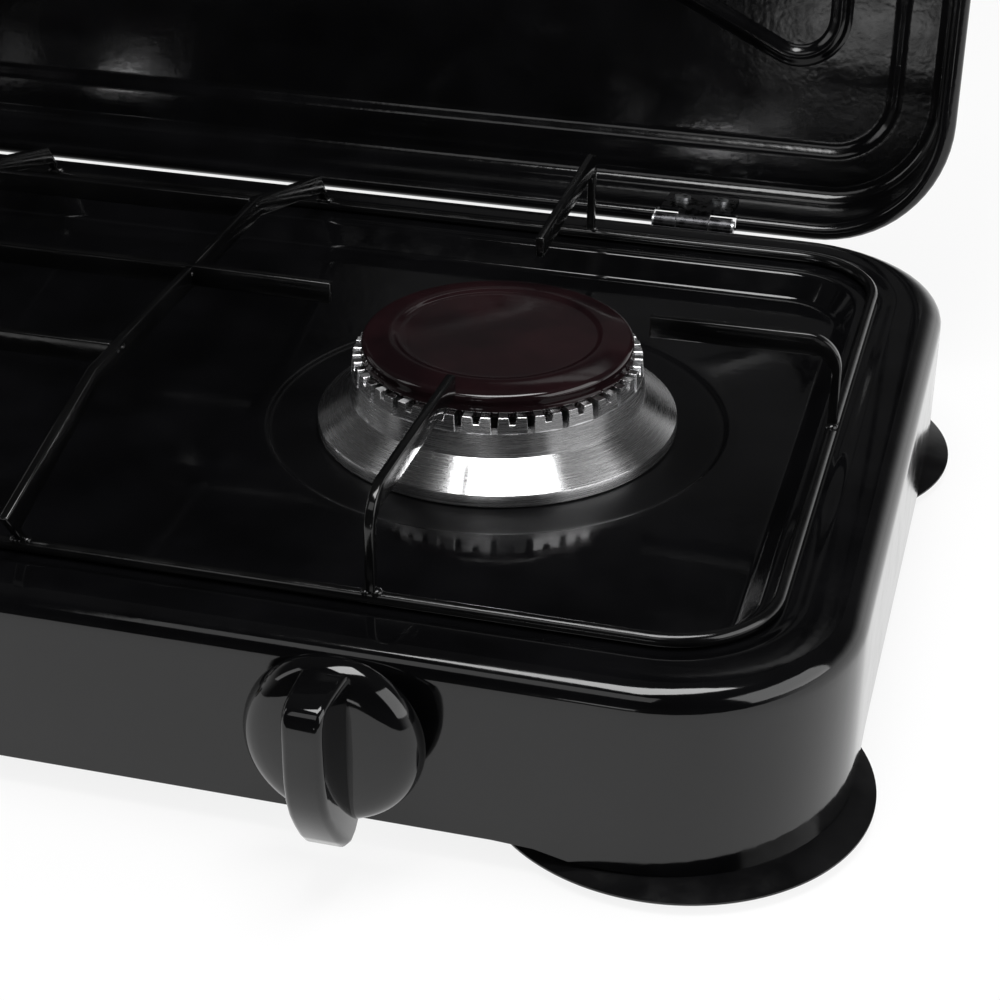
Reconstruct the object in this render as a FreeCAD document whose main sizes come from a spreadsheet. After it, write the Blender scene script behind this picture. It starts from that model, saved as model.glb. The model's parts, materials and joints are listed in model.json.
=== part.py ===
import math
import os

import FreeCAD
import Part
import Sketcher

# A low two-burner tabletop gas stove with its pressed lid standing open.
# Millimetres. X runs to the right, Y to the back, Z up. The origin lies on the table, under the
# middle of the whole stove from the knobs to the open lid. Places along Y are written from the
# middle of the pressed body, and every piece is then moved by origin_shift. The burners and the grate
# share a middle of their own, hob_shift behind the body's.

DRIVING_SIZES = {
    # pressed body
    "body_width": 500.0,
    "body_depth": 267.0,
    "hob_shift": 1.5,
    "body_corner": 48.0,
    "rim_round": 6.0,
    "sheet_wall": 1.0,
    "rim_level": 54.4,
    "ledge_step": 1.0,
    "ledge_width": 9.5,
    "ledge_margin": 4.4,
    "hob_drop": 7.4,
    "hob_wall_lean": 35.0,
    "hob_back_margin": 4.0,
    "dish_drop": 0.8,
    "dish_radius": 63.5,
    "dish_wall_lean": 40.0,
    "skirt_lift": 7.7,
    "corner_lift": 4.8,
    "skirt_dip_place": 70.0,
    "skirt_dip_run": 10.0,
    # feet
    "foot_radius": 48.8,
    "foot_inset": 42.6,
    "foot_flat": 40.5,
    "foot_edge": 0.9,
    "foot_round": 0.4,
    "foot_shank": 7.0,
    "pad_height": 2.0,
    "pad_radius": 21.0,
    "web_thickness": 1.2,
    "web_reach": 11.2,
    "foot_screw_radius": 2.0,
    "foot_screw_head": 4.0,
    "foot_screw_sunk": 0.2,
    # burners
    "burner_pitch": 273.0,
    "head_radius": 49.8,
    "head_edge": 3.2,
    "head_bevel": 1.2,
    "head_flange": 3.0,
    "skirt_rise": 9.7,
    "wall_radius": 40.9,
    "crown_radius": 39.7,
    "crown_rise": 21.1,
    "crown_wall": 3.4,
    "spigot_radius": 34.2,
    "spigot_depth": 7.2,
    "slot_width": 1.9,
    "slot_deep": 4.6,
    "slot_shallow": 2.0,
    "slot_pairs": 26,
    "cap_radius": 37.5,
    "cap_edge": 4.6,
    "cap_ring": 27.5,
    "cap_wall": 2.4,
    "cap_round": 1.0,
    "cap_dome": 1.8,
    "cap_lip_wall": 2.0,
    "cap_lip_depth": 1.8,
    "cup_wall": 2.0,
    "cup_depth": 23.0,
    "cup_flange": 9.5,
    "cup_flange_thickness": 1.5,
    "tube_level": 31.0,
    "tube_radius": 8.5,
    "tube_wall": 1.5,
    "tube_mouth": 49.0,
    "shutter_length": 12.0,
    "shutter_wall": 0.8,
    "shutter_overhang": 3.0,
    "cup_screw_circle": 40.6,
    "cup_screw_radius": 1.5,
    "cup_screw_head": 1.4,
    "cup_screw_length": 4.5,
    # gas line and valves, with places along Y measured in from the front or rear face of the body
    "rail_radius": 4.0,
    "rail_wall": 1.0,
    "rail_level": 20.0,
    "rail_depth": 16.0,
    "rail_end": 160.0,
    "inlet_side": 60.0,
    "rail_bend": 14.0,
    "plug_depth": 6.0,
    "plug_cap": 4.0,
    "inlet_start": 27.0,
    "nozzle_bore": 2.5,
    "nozzle_radius": 5.0,
    "nozzle_length": 24.0,
    "nozzle_grip": 9.0,
    "nozzle_sleeve": 2.5,
    "nozzle_collar": 8.0,
    "nozzle_wall": 1.6,
    "barb_height": 0.8,
    "barb_length": 4.0,
    "nut_across": 17.0,
    "nut_height": 5.0,
    "valve_width": 18.0,
    "valve_length": 30.0,
    "valve_top": 44.0,
    "valve_bottom": 14.0,
    "lug_round": 3.5,
    "lug_thickness": 4.0,
    "lug_height": 16.0,
    "stem_radius": 3.0,
    "stem_inner_end": 22.0,
    "spring_pocket": 6.3,
    "spring_pocket_depth": 16.5,
    "spring_wire": 0.6,
    "spring_length": 8.0,
    "washer_thickness": 1.0,
    "washer_place": 5.0,
    "jet_radius": 3.5,
    "jet_length": 8.0,
    "jet_bore": 0.4,
    "jet_shoulder": 1.0,
    "outlet_depth": 6.0,
    "panel_hole": 6.6,
    "panel_screw_offset": 10.5,
    "panel_screw_rise": 3.7,
    "panel_screw_radius": 1.5,
    "panel_screw_head": 1.0,
    "panel_screw_length": 5.5,
    # knobs
    "knob_level": 35.3,
    "knob_radius": 21.7,
    "knob_gap": 4.6,
    "knob_rim": 5.4,
    "knob_dome": 5.5,
    "knob_round": 1.3,
    "grip_width": 9.6,
    "grip_length": 46.2,
    "grip_rise": 21.0,
    "grip_reach": 24.4,
    "grip_round": 1.6,
    "socket_depth": 17.4,
    "push_travel": 3.0,
    # grate
    "rod_radius": 1.75,
    "frame_width": 457.6,
    "frame_depth": 226.0,
    "frame_corner": 26.0,
    "strip_thickness": 2.5,
    "strip_height": 6.2,
    "grate_level": 83.0,
    "tip_drop": 1.8,
    "tip_radius": 45.5,
    "side_tip_drop": 0.4,
    "side_tip_radius": 42.0,
    "finger_bend": 10.0,
    "back_finger_bend": 5.0,
    "leg_thickness": 2.6,
    "divider_place": 47.5,
    "divider_level": 81.2,
    "divider_flat": 60.0,
    "divider_end_level": 67.0,
    "divider_shift": 7.0,
    "bar_place": 51.5,
    "bar_drop": 1.2,
    "bar_short": 2.0,
    # lid and hinges
    "lid_width": 489.6,
    "lid_front": 5.0,
    "lid_overhang": 2.0,
    "lid_corner": 41.0,
    "lid_height": 30.5,
    "lid_hem": 4.3,
    "lid_seat_gap": 0.5,
    "lid_inner_round": 3.0,
    "lid_outer_round": 4.0,
    "panel_step": 2.0,
    "panel_band": 16.5,
    "panel_round": 1.5,
    "lid_open": 96.5,
    "bead_width": 7.0,
    "bead_height": 1.4,
    "bead_side": 38.0,
    "bead_low": 34.5,
    "bead_high": 227.0,
    "bead_point": 230.0,
    "bead_round": 10.5,
    "hinge_place": 165.5,
    "hinge_width": 25.0,
    "hinge_behind": 2.5,
    "hinge_level": 53.0,
    "knuckle_radius": 3.0,
    "knuckle_gap": 0.3,
    "pin_radius": 1.4,
    "pin_head": 0.8,
    "leaf_thickness": 1.0,
    "leaf_length": 18.0,
    "rivet_radius": 1.6,
    # clearances
    "touch_gap": 0.04,
    "sliding_gap": 0.05,
    "lift_gap": 0.3,
}


class Term:
    """A number together with the spreadsheet expression that gives it."""

    def __init__(self, value, text):
        self.value = value
        self.text = text

    def joined(self, other, sign, value):
        return Term(value, "(%s %s %s)" % (self.text, sign, other.text))

    def __add__(self, other):
        other = term(other)
        return self.joined(other, "+", self.value + other.value)

    def __sub__(self, other):
        other = term(other)
        return self.joined(other, "-", self.value - other.value)

    def __mul__(self, other):
        other = term(other)
        return self.joined(other, "*", self.value * other.value)

    def __truediv__(self, other):
        other = term(other)
        return self.joined(other, "/", self.value / other.value)

    def __radd__(self, other):
        return term(other) + self

    def __rsub__(self, other):
        return term(other) - self

    def __rmul__(self, other):
        return term(other) * self

    def __neg__(self):
        return Term(-self.value, "(0 - %s)" % self.text)


def term(thing):
    if isinstance(thing, Term):
        return thing
    return Term(float(thing), repr(float(thing)))


def sine(angle):
    return Term(math.sin(math.radians(angle.value)), "sin(%s * 1 deg)" % angle.text)


def cosine(angle):
    return Term(math.cos(math.radians(angle.value)), "cos(%s * 1 deg)" % angle.text)


document = FreeCAD.newDocument("stove")
sheet = document.addObject("Spreadsheet::Sheet", "Sizes")
for row, (alias, value) in enumerate(DRIVING_SIZES.items(), start=1):
    sheet.set("A%d" % row, alias)
    sheet.set("B%d" % row, repr(value))
    sheet.setAlias("B%d" % row, alias)
document.recompute()


def size(alias):
    return Term(float(DRIVING_SIZES[alias]), "Sizes." + alias)


def bind(thing, prop, value):
    value = term(value)
    thing.setExpression(prop, value.text)


def stem_name(text):
    return "".join(word.capitalize() for word in text.split("_"))


# The frame: how far the knobs and the open lid reach from the middle of the body

half_depth = size("body_depth") / 2
lid_seat = size("rim_level") + size("lid_seat_gap") - size("hinge_level")
knob_reach = half_depth + size("knob_gap") + size("grip_reach")
lid_front_edge = half_depth - size("lid_front")
lid_far_edge = lid_front_edge + half_depth + size("hinge_behind") - size("lid_hem") \
    - size("sheet_wall") - size("panel_band")
lid_reach = half_depth + size("hinge_behind") - lid_far_edge * cosine(size("lid_open")) \
    + (lid_seat + size("lid_height") + size("panel_step")) * sine(size("lid_open"))
origin_shift = (knob_reach - lid_reach) / 2


# Sketch and feature helpers


def new_body(label, place=(0, 0, 0)):
    body = document.addObject("PartDesign::Body", stem_name(label))
    body.Label = label
    set_place(body, place)
    document.recompute()
    return body


def set_place(thing, place):
    bind(thing, "Placement.Base.x", place[0])
    bind(thing, "Placement.Base.y", place[1] + origin_shift)
    bind(thing, "Placement.Base.z", place[2])


def sketch_on(body, name, plane="XY_Plane", lift=0):
    """A sketch on one of the body's own origin planes, lifted along that plane's normal."""
    sketch = body.newObject("Sketcher::SketchObject", stem_name(body.Label + "_" + name))
    support = [item for item in body.Origin.OriginFeatures if item.Role == plane][0]
    sketch.AttachmentSupport = [(support, "")]
    sketch.MapMode = "FlatFace"
    bind(sketch, "AttachmentOffset.Base.z", lift)
    return sketch


def constrain(sketch, *parts):
    plain_parts = [part.value if isinstance(part, Term) else part for part in parts]
    index = sketch.addConstraint(Sketcher.Constraint(*plain_parts))
    if isinstance(parts[-1], Term):
        sketch.setExpression("Constraints[%d]" % index, parts[-1].text)


def pin_point(sketch, geometry, position, across, up):
    """Hold one point at a place given by two terms."""
    across = term(across)
    up = term(up)
    if across.value == 0:
        constrain(sketch, "PointOnObject", geometry, position, -2)
    else:
        constrain(sketch, "DistanceX", -1, 1, geometry, position, across)
    if up.value == 0:
        constrain(sketch, "PointOnObject", geometry, position, -1)
    else:
        constrain(sketch, "DistanceY", -1, 1, geometry, position, up)


def vector(across, up):
    return FreeCAD.Vector(term(across).value, term(up).value, 0)


def draw_outline(sketch, points):
    """A closed outline of straight lines, each corner held by the sheet."""
    first = sketch.GeometryCount
    count = len(points)
    for number in range(count):
        start = vector(*points[number])
        end = vector(*points[(number + 1) % count])
        sketch.addGeometry(Part.LineSegment(start, end), False)
    for number in range(count):
        following = first + (number + 1) % count
        constrain(sketch, "Coincident", first + number, 2, following, 1)
    for number in range(count):
        pin_point(sketch, first + number, 1, *points[number])


def draw_circle(sketch, across, up, radius):
    radius = term(radius)
    circle = Part.Circle(vector(across, up), FreeCAD.Vector(0, 0, 1), radius.value)
    index = sketch.addGeometry(circle, False)
    pin_point(sketch, index, 3, across, up)
    constrain(sketch, "Radius", index, radius)


def draw_rounded(sketch, half_width, half_depth, corner, middle=0):
    """A rectangle with four round corners, centred on X and on the given height."""
    half_width, half_depth = term(half_width), term(half_depth)
    corner, middle = term(corner), term(middle)
    first = sketch.GeometryCount
    w, d, r, m = half_width.value, half_depth.value, corner.value, middle.value
    sides = [((-w + r, m - d), (w - r, m - d)), ((w, m - d + r), (w, m + d - r)),
             ((w - r, m + d), (-w + r, m + d)), ((-w, m + d - r), (-w, m - d + r))]
    centres = [(w - r, m - d + r, 270), (w - r, m + d - r, 0),
               (-w + r, m + d - r, 90), (-w + r, m - d + r, 180)]
    for side, centre in zip(sides, centres):
        sketch.addGeometry(Part.LineSegment(vector(*side[0]), vector(*side[1])), False)
        round_edge = Part.Circle(vector(centre[0], centre[1]), FreeCAD.Vector(0, 0, 1), r)
        start = math.radians(centre[2])
        sketch.addGeometry(Part.ArcOfCircle(round_edge, start, start + math.pi / 2), False)
    for number in range(4):
        line = first + 2 * number
        arc = line + 1
        following = first + (2 * number + 2) % 8
        constrain(sketch, "Tangent", line, 2, arc, 1)
        constrain(sketch, "Tangent", arc, 2, following, 1)
        constrain(sketch, "Horizontal" if number % 2 == 0 else "Vertical", line)
        if number:
            constrain(sketch, "Equal", first + 1, arc)
    constrain(sketch, "Radius", first + 1, corner)
    for line, axis, distance in ((first, "DistanceY", middle - half_depth),
                                 (first + 2, "DistanceX", half_width),
                                 (first + 4, "DistanceY", middle + half_depth),
                                 (first + 6, "DistanceX", -half_width)):
        constrain(sketch, axis, -1, 1, line, 1, distance)


def add_feature(body, kind, name, sketch, length=None, backwards=False, taper=None):
    feature = body.newObject("PartDesign::" + kind, stem_name(body.Label + "_" + name))
    feature.Profile = sketch
    if length is not None:
        bind(feature, "Length", length)
    feature.Reversed = backwards
    if taper is not None:
        bind(feature, "TaperAngle", taper)
    sketch.Visibility = False
    document.recompute()
    return feature


def turn_profile(body, name, points, plane="XZ_Plane", axis="V_Axis", kind="Revolution"):
    sketch = sketch_on(body, name + "_profile", plane)
    draw_outline(sketch, points)
    feature = body.newObject("PartDesign::" + kind, stem_name(body.Label + "_" + name))
    feature.Profile = sketch
    feature.ReferenceAxis = (sketch, [axis])
    feature.Angle = 360
    document.recompute()
    return feature


def edges_where(feature, wanted):
    found = []
    for number, edge in enumerate(feature.Shape.Edges, start=1):
        if wanted(edge):
            found.append("Edge%d" % number)
    return found


def round_edges(body, name, wanted, radius, kind="Fillet", prop="Radius"):
    base = body.Tip
    feature = body.newObject("PartDesign::" + kind, stem_name(body.Label + "_" + name))
    feature.Base = (base, edges_where(base, wanted))
    bind(feature, prop, radius)
    document.recompute()
    return feature


def near(one, other, slack=0.01):
    return abs(one - term(other).value) < slack


def flat_at(level, side=2):
    """Test for edges that lie at one height, or at one place across or along."""
    def test(edge):
        low = [edge.BoundBox.XMin, edge.BoundBox.YMin, edge.BoundBox.ZMin][side]
        high = [edge.BoundBox.XMax, edge.BoundBox.YMax, edge.BoundBox.ZMax][side]
        return near(low, level) and near(high, level)
    return test


def edge_at(side, place, level):
    """Test for edges that lie at one place across or along and at one height."""
    at_place = flat_at(place, side)
    at_level = flat_at(level)

    def test(edge):
        return at_place(edge) and at_level(edge)
    return test


# Part helpers for pieces made of plain solids


def plain(kind, name, place=(0, 0, 0), turn=None, **sizes):
    thing = document.addObject("Part::" + kind, name)
    for prop, value in sizes.items():
        bind(thing, prop, value)
    if turn:
        thing.Placement.Rotation = FreeCAD.Rotation(FreeCAD.Vector(*turn[0]), turn[1])
    set_place(thing, place)
    return thing


def block(name, low, span):
    return plain("Box", name, low, Length=span[0], Width=span[1], Height=span[2])


def rod(name, place, radius, height, turn=None):
    return plain("Cylinder", name, place, turn, Radius=radius, Height=height)


def cut(name, base, *tools):
    result = document.addObject("Part::Cut", name)
    result.Base = base
    result.Tool = tools[0] if len(tools) == 1 else joined(name + "Tools", *tools)
    return result


def joined(name, *pieces):
    result = document.addObject("Part::MultiFuse", name)
    result.Shapes = list(pieces)
    return result


def mirrored(name, source, normal):
    result = document.addObject("Part::Mirroring", name)
    result.Source = source
    result.Normal = FreeCAD.Vector(*normal)
    bind(result, "Base.y", origin_shift)
    return result


def gathered(name, *pieces):
    """Several equal pieces that share one node."""
    result = document.addObject("Part::Compound", name)
    result.Links = list(pieces)
    return result


NODES = []


def keep(label, thing):
    thing.Label = label
    NODES.append(thing)
    return thing


ALONG_X = ((0, 1, 0), 90)
ALONG_Y = ((1, 0, 0), -90)
SIDES = (("right", 1), ("left", -1))
ARC_STEPS = 6

# Directions from the burner's middle to its three cup screws
CUP_SCREWS = [(math.cos(math.radians(angle)), math.sin(math.radians(angle))) for angle in (90, 210, 330)]

touch = size("touch_gap")
wall = size("sheet_wall")
half_width = size("body_width") / 2
rim = size("rim_level")
ledge = rim - size("ledge_step")
hob = ledge - size("hob_drop")
dish = hob - size("dish_drop")
burner_side = size("burner_pitch") / 2
burner_y = size("hob_shift")
hob_under = dish - wall
rail_place = half_depth - size("rail_depth")
inlet_across = half_width - size("inlet_side")


# Pressed body


def make_body_shell():
    body = new_body("body_shell")
    low = size("corner_lift")
    corner = size("body_corner")
    outline = sketch_on(body, "outline", lift=low)
    draw_rounded(outline, half_width, half_depth, corner)
    add_feature(body, "Pad", "block", outline, rim - low)
    hollow = sketch_on(body, "hollow_outline", lift=low)
    draw_rounded(hollow, half_width - wall, half_depth - wall, corner - wall)
    add_feature(body, "Pocket", "hollow", hollow, rim - wall - low, backwards=True)
    round_edges(body, "inner_rounding", flat_at(rim - wall), size("rim_round") - wall)
    round_edges(body, "rim_rounding", flat_at(rim), size("rim_round"))

    ledge_x = size("frame_width") / 2 + size("ledge_margin")
    ledge_y = size("frame_depth") / 2 + size("ledge_margin")
    ledge_corner = size("frame_corner") + size("ledge_margin")
    floor_x = ledge_x - size("ledge_width")
    floor_y = ledge_y - size("ledge_width")
    floor_corner = ledge_corner - size("ledge_width")
    lean = size("hob_wall_lean")
    back_margin = size("hob_back_margin") / 2
    floor_deep = floor_y - back_margin
    floor_middle = burner_y - back_margin

    ledge_skin = sketch_on(body, "ledge_skin_outline", lift=rim - wall)
    draw_rounded(ledge_skin, ledge_x + wall, ledge_y + wall, ledge_corner + wall, burner_y)
    add_feature(body, "Pad", "ledge_skin", ledge_skin, size("ledge_step"), backwards=True)
    bowl_skin = sketch_on(body, "bowl_skin_outline", lift=ledge)
    draw_rounded(bowl_skin, floor_x + wall, floor_deep + wall, floor_corner + wall, floor_middle)
    add_feature(body, "Pad", "bowl_skin", bowl_skin, size("hob_drop") + wall, True, -lean)
    dish_skin = sketch_on(body, "dish_skin_outline", lift=hob)
    for side in (1, -1):
        draw_circle(dish_skin, burner_side * side, burner_y, size("dish_radius") + wall)
    add_feature(body, "Pad", "dish_skin", dish_skin, size("dish_drop") + wall, backwards=True)

    ledge_cut = sketch_on(body, "ledge_outline", lift=rim)
    draw_rounded(ledge_cut, ledge_x, ledge_y, ledge_corner, burner_y)
    add_feature(body, "Pocket", "ledge", ledge_cut, size("ledge_step"))
    bowl = sketch_on(body, "bowl_outline", lift=ledge)
    draw_rounded(bowl, floor_x, floor_deep, floor_corner, floor_middle)
    add_feature(body, "Pocket", "bowl", bowl, size("hob_drop"), False, -lean)
    dishes = sketch_on(body, "dish_outline", lift=hob)
    for side in (1, -1):
        draw_circle(dishes, burner_side * side, burner_y, size("dish_radius"))
    add_feature(body, "Pocket", "dishes", dishes, size("dish_drop"), False, -size("dish_wall_lean"))

    holes = sketch_on(body, "burner_holes_outline", lift=rim)
    spigot = size("spigot_radius") + size("lift_gap") + size("cup_wall")
    for side in (1, -1):
        draw_circle(holes, burner_side * side, burner_y, spigot)
        for across, along in CUP_SCREWS:
            draw_circle(holes, burner_side * side + size("cup_screw_circle") * across,
                        burner_y + size("cup_screw_circle") * along,
                        size("cup_screw_radius") + size("sliding_gap"))
    add_feature(body, "Pocket", "burner_holes", holes, rim - hob_under + wall)

    fronts = sketch_on(body, "valve_holes_outline", "XZ_Plane", half_depth)
    for side in (1, -1):
        draw_circle(fronts, burner_side * side, size("knob_level"), size("panel_hole"))
        for direction in (1, -1):
            draw_circle(fronts, burner_side * side + size("panel_screw_offset") * direction,
                        size("knob_level") + size("panel_screw_rise") * direction,
                        size("panel_screw_radius") + size("sliding_gap"))
    add_feature(body, "Pocket", "valve_holes", fronts, wall * 2)

    rear = sketch_on(body, "inlet_hole_outline", "XZ_Plane", -half_depth)
    draw_circle(rear, -inlet_across, size("rail_level"), size("nozzle_radius") + size("sliding_gap"))
    for side in (1, -1):
        for direction in (1, -1):
            draw_circle(rear, size("hinge_place") * side + size("hinge_width") / 4 * direction,
                        hinge_z - size("leaf_length") / 2 - size("knuckle_radius"),
                        size("rivet_radius") + size("sliding_gap"))
    add_feature(body, "Pocket", "inlet_hole", rear, wall * 2, backwards=True)

    lift = size("skirt_lift")
    below = low - wall
    for name, plane, reach, long_side in (("front_skirt", "XZ_Plane", half_depth, half_width),
                                          ("side_skirt", "YZ_Plane", half_width, half_depth)):
        gap = sketch_on(body, name + "_outline", plane, -reach - wall)
        dip_start = long_side - size("skirt_dip_place")
        dip_end = dip_start + size("skirt_dip_run")
        draw_outline(gap, [(-dip_end, below), (dip_end, below), (dip_end, low), (dip_start, lift),
                           (-dip_start, lift), (-dip_end, low)])
        add_feature(body, "Pocket", name, gap, (reach + wall) * 2, backwards=True)

    webs = sketch_on(body, "corner_webs_outline", lift=low)
    edge = corner - wall / 2
    for along_x in (1, -1):
        for along_y in (1, -1):
            draw_web(webs, along_x, along_y, edge)
    add_feature(body, "Pad", "corner_webs", webs, size("web_thickness"))
    screw_holes = sketch_on(body, "foot_screw_holes_outline", lift=low)
    foot_x, foot_y = foot_place()
    for along_x in (1, -1):
        for along_y in (1, -1):
            draw_circle(screw_holes, foot_x * along_x, foot_y * along_y,
                        size("foot_screw_radius") + size("sliding_gap"))
    add_feature(body, "Pocket", "foot_screw_holes", screw_holes, size("web_thickness") * 2, backwards=True)
    return keep("body_shell", body)


def draw_web(sketch, along_x, along_y, edge):
    """The turned-in web at one corner, which the foot is screwed to."""
    centre_x = half_width - size("body_corner")
    centre_y = half_depth - size("body_corner")
    foot_x, foot_y = foot_place()
    inner_x = foot_x - size("web_reach")
    inner_y = foot_y - size("web_reach")
    points = [(inner_x, centre_y + edge)]
    for step in range(ARC_STEPS + 1):
        angle = math.radians(90 - 90 / ARC_STEPS * step)
        points.append((centre_x + edge * math.cos(angle), centre_y + edge * math.sin(angle)))
    points.append((centre_x + edge, inner_y))
    points.append((inner_x, inner_y))
    placed = [(x * along_x, y * along_y) for x, y in points]
    draw_outline(sketch, placed)


# Feet


def foot_place():
    return half_width - size("foot_inset"), half_depth - size("foot_inset")


def make_feet():
    foot_x, foot_y = foot_place()
    bottom = size("pad_height")
    top = size("corner_lift") - touch
    first = new_body("foot_front_right", (foot_x, -foot_y, 0))
    bore = size("foot_screw_radius") + size("sliding_gap")
    radius = size("foot_radius")
    soft = size("foot_round")
    turn_profile(first, "disc", [
        (bore, bottom), (radius - soft, bottom), (radius, bottom + soft),
        (radius, bottom + size("foot_edge")), (size("foot_flat"), top), (bore, top)])
    keep("foot_front_right", first)
    left = keep("foot_front_left", mirrored("FootFrontLeft", first, (1, 0, 0)))
    keep("foot_back_right", mirrored("FootBackRight", first, (0, 1, 0)))
    keep("foot_back_left", mirrored("FootBackLeft", left, (0, 1, 0)))

    pads = []
    screws = []
    head = size("foot_screw_head")
    sunk = size("foot_screw_sunk")
    for number, (across, along) in enumerate(((1, -1), (-1, -1), (1, 1), (-1, 1))):
        place = (foot_x * across, foot_y * along)
        pad = rod("Pad%d" % number, place + (0,), size("pad_radius"), bottom - touch)
        well = rod("PadWell%d" % number, place + (-1,), head + size("lift_gap"), bottom * 2)
        pads.append(cut("PadCut%d" % number, pad, well))
        cap = rod("FootScrewHead%d" % number, place + (sunk,), head, bottom - touch - sunk)
        shank = rod("FootScrewShank%d" % number, place + (sunk,), size("foot_screw_radius"),
                    size("foot_shank"))
        screws.append(joined("FootScrew%d" % number, cap, shank))
    keep("foot_pads", gathered("FootPads", *pads))
    keep("foot_screws", gathered("FootScrews", *screws))


# Burners


def make_burner(side_name, side):
    place = (burner_side * side, burner_y, 0)
    seat = dish + touch
    radius = size("head_radius")
    crown = size("crown_radius")
    top = dish + size("crown_rise")
    inner = crown - size("crown_wall")
    spigot = size("spigot_radius")
    head = new_body("burner_head_" + side_name, place)
    edge_top = dish + size("head_edge")
    bevel = size("head_bevel")
    skirt_top = dish + size("skirt_rise")
    hollow_under = skirt_top - size("crown_wall")
    spigot_inner = spigot - size("crown_wall")
    spigot_bottom = dish - size("spigot_depth")
    hollow_radius = radius - size("head_flange")
    turn_profile(head, "casting", [
        (radius, seat), (radius, edge_top), (radius - bevel * 0.75, edge_top + bevel),
        (size("wall_radius"), skirt_top), (size("wall_radius") - bevel / 4, skirt_top + bevel / 2),
        (crown, top), (inner, top), (inner, skirt_top + size("crown_wall")), (spigot_inner, skirt_top),
        (spigot_inner, spigot_bottom), (spigot, spigot_bottom), (spigot, hollow_under),
        (size("wall_radius") - bevel, hollow_under), (hollow_radius, dish + bevel * 1.5),
        (hollow_radius, seat)])
    for name, plane, depth in (("deep_slot", "YZ_Plane", size("slot_deep")),
                               ("shallow_slot", "XZ_Plane", size("slot_shallow"))):
        slot = sketch_on(head, name + "_outline", plane)
        half = size("slot_width") / 2
        draw_outline(slot, [(-half, top - depth), (half, top - depth), (half, top + 1), (-half, top + 1)])
        first = add_feature(head, "Pocket", name, slot, radius, backwards=True)
        ring = head.newObject("PartDesign::PolarPattern", stem_name(head.Label + "_" + name + "_ring"))
        ring.Originals = [first]
        ring.Axis = (slot, ["V_Axis"])
        ring.Angle = 360
        bind(ring, "Occurrences", size("slot_pairs"))
        head.Tip = ring
        document.recompute()
    keep("burner_head_" + side_name, head)

    cap = new_body("burner_cap_" + side_name, place)
    base = top + touch
    cap_radius = size("cap_radius")
    edge_top = base + size("cap_edge")
    groove = size("cap_ring")
    lip = inner - size("lift_gap")
    under = base + size("cap_edge") - size("cap_wall") * 0.6
    soft = size("cap_round")
    dome = size("cap_dome")
    lip_inner = lip - size("cap_lip_wall")
    lip_bottom = base - size("cap_lip_depth")
    turn_profile(cap, "pressing", [
        (0, under), (lip_inner, under), (lip_inner, lip_bottom), (lip, lip_bottom), (lip, base),
        (cap_radius - soft * 0.7, base), (cap_radius, base + soft * 0.8), (cap_radius, edge_top - soft),
        (cap_radius - soft / 2, edge_top), (cap_radius - soft * 1.6, edge_top + dome * 0.4),
        (groove + soft * 1.2, edge_top + dome * 0.7), (groove, edge_top + dome * 0.45),
        (groove - soft * 1.2, edge_top + dome * 0.7), (0, edge_top + dome)])
    keep("burner_cap_" + side_name, cap)

    cup = new_body("burner_cup_" + side_name, place)
    cup_wall = size("cup_wall")
    cup_inner = spigot + size("lift_gap")
    cup_outer = cup_inner + cup_wall - size("sliding_gap") * 2
    cup_top = hob_under - touch
    floor = cup_top - size("cup_depth")
    flange_under = cup_top - size("cup_flange_thickness")
    turn_profile(cup, "bowl", [
        (0, floor), (cup_outer, floor), (cup_outer, flange_under),
        (cup_inner + size("cup_flange"), flange_under), (cup_inner + size("cup_flange"), cup_top),
        (cup_inner, cup_top), (cup_inner, floor + cup_wall), (0, floor + cup_wall)])
    tube = size("tube_radius")
    level = size("tube_level")
    mouth = half_depth + burner_y - size("tube_mouth")
    tube_outline = sketch_on(cup, "tube_outline", "XZ_Plane", cup_inner)
    draw_circle(tube_outline, 0, level, tube)
    add_feature(cup, "Pad", "tube", tube_outline, mouth - cup_inner)
    bore = sketch_on(cup, "bore_outline", "XZ_Plane", spigot - 8.0)
    draw_circle(bore, 0, level, tube - size("tube_wall"))
    add_feature(cup, "Pocket", "bore", bore, mouth, backwards=True)
    threads = sketch_on(cup, "screw_holes_outline", lift=cup_top)
    thread_radius = size("cup_screw_radius") + size("sliding_gap")
    for across, along in CUP_SCREWS:
        draw_circle(threads, size("cup_screw_circle") * across, size("cup_screw_circle") * along,
                    thread_radius)
    add_feature(cup, "Pocket", "screw_holes", threads, size("cup_flange_thickness") * 2)
    keep("burner_cup_" + side_name, cup)

    shutter = new_body("air_shutter_" + side_name, place)
    sleeve = sketch_on(shutter, "ring", "XZ_Plane", mouth - size("shutter_length"))
    draw_circle(sleeve, 0, level, tube + size("sliding_gap"))
    draw_circle(sleeve, 0, level, tube + size("sliding_gap") + size("shutter_wall"))
    add_feature(shutter, "Pad", "sleeve", sleeve, size("shutter_length") + size("shutter_overhang"))
    keep("air_shutter_" + side_name, shutter)


def make_cup_screws():
    screws = []
    for side in (1, -1):
        for number, (across, along) in enumerate(CUP_SCREWS):
            place = (burner_side * side + size("cup_screw_circle") * across,
                     burner_y + size("cup_screw_circle") * along)
            tag = "%d%s" % (number, "Right" if side > 0 else "Left")
            cap = rod("CupScrewHead" + tag, place + (dish + touch,), size("cup_screw_radius") * 1.8,
                      size("cup_screw_head"))
            shank = rod("CupScrewShank" + tag, place + (dish + touch - size("cup_screw_length"),),
                        size("cup_screw_radius"), size("cup_screw_length") + size("cup_screw_head") / 2)
            screws.append(joined("CupScrew" + tag, cap, shank))
    keep("cup_screws", gathered("CupScrews", *screws))


# Gas line


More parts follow.
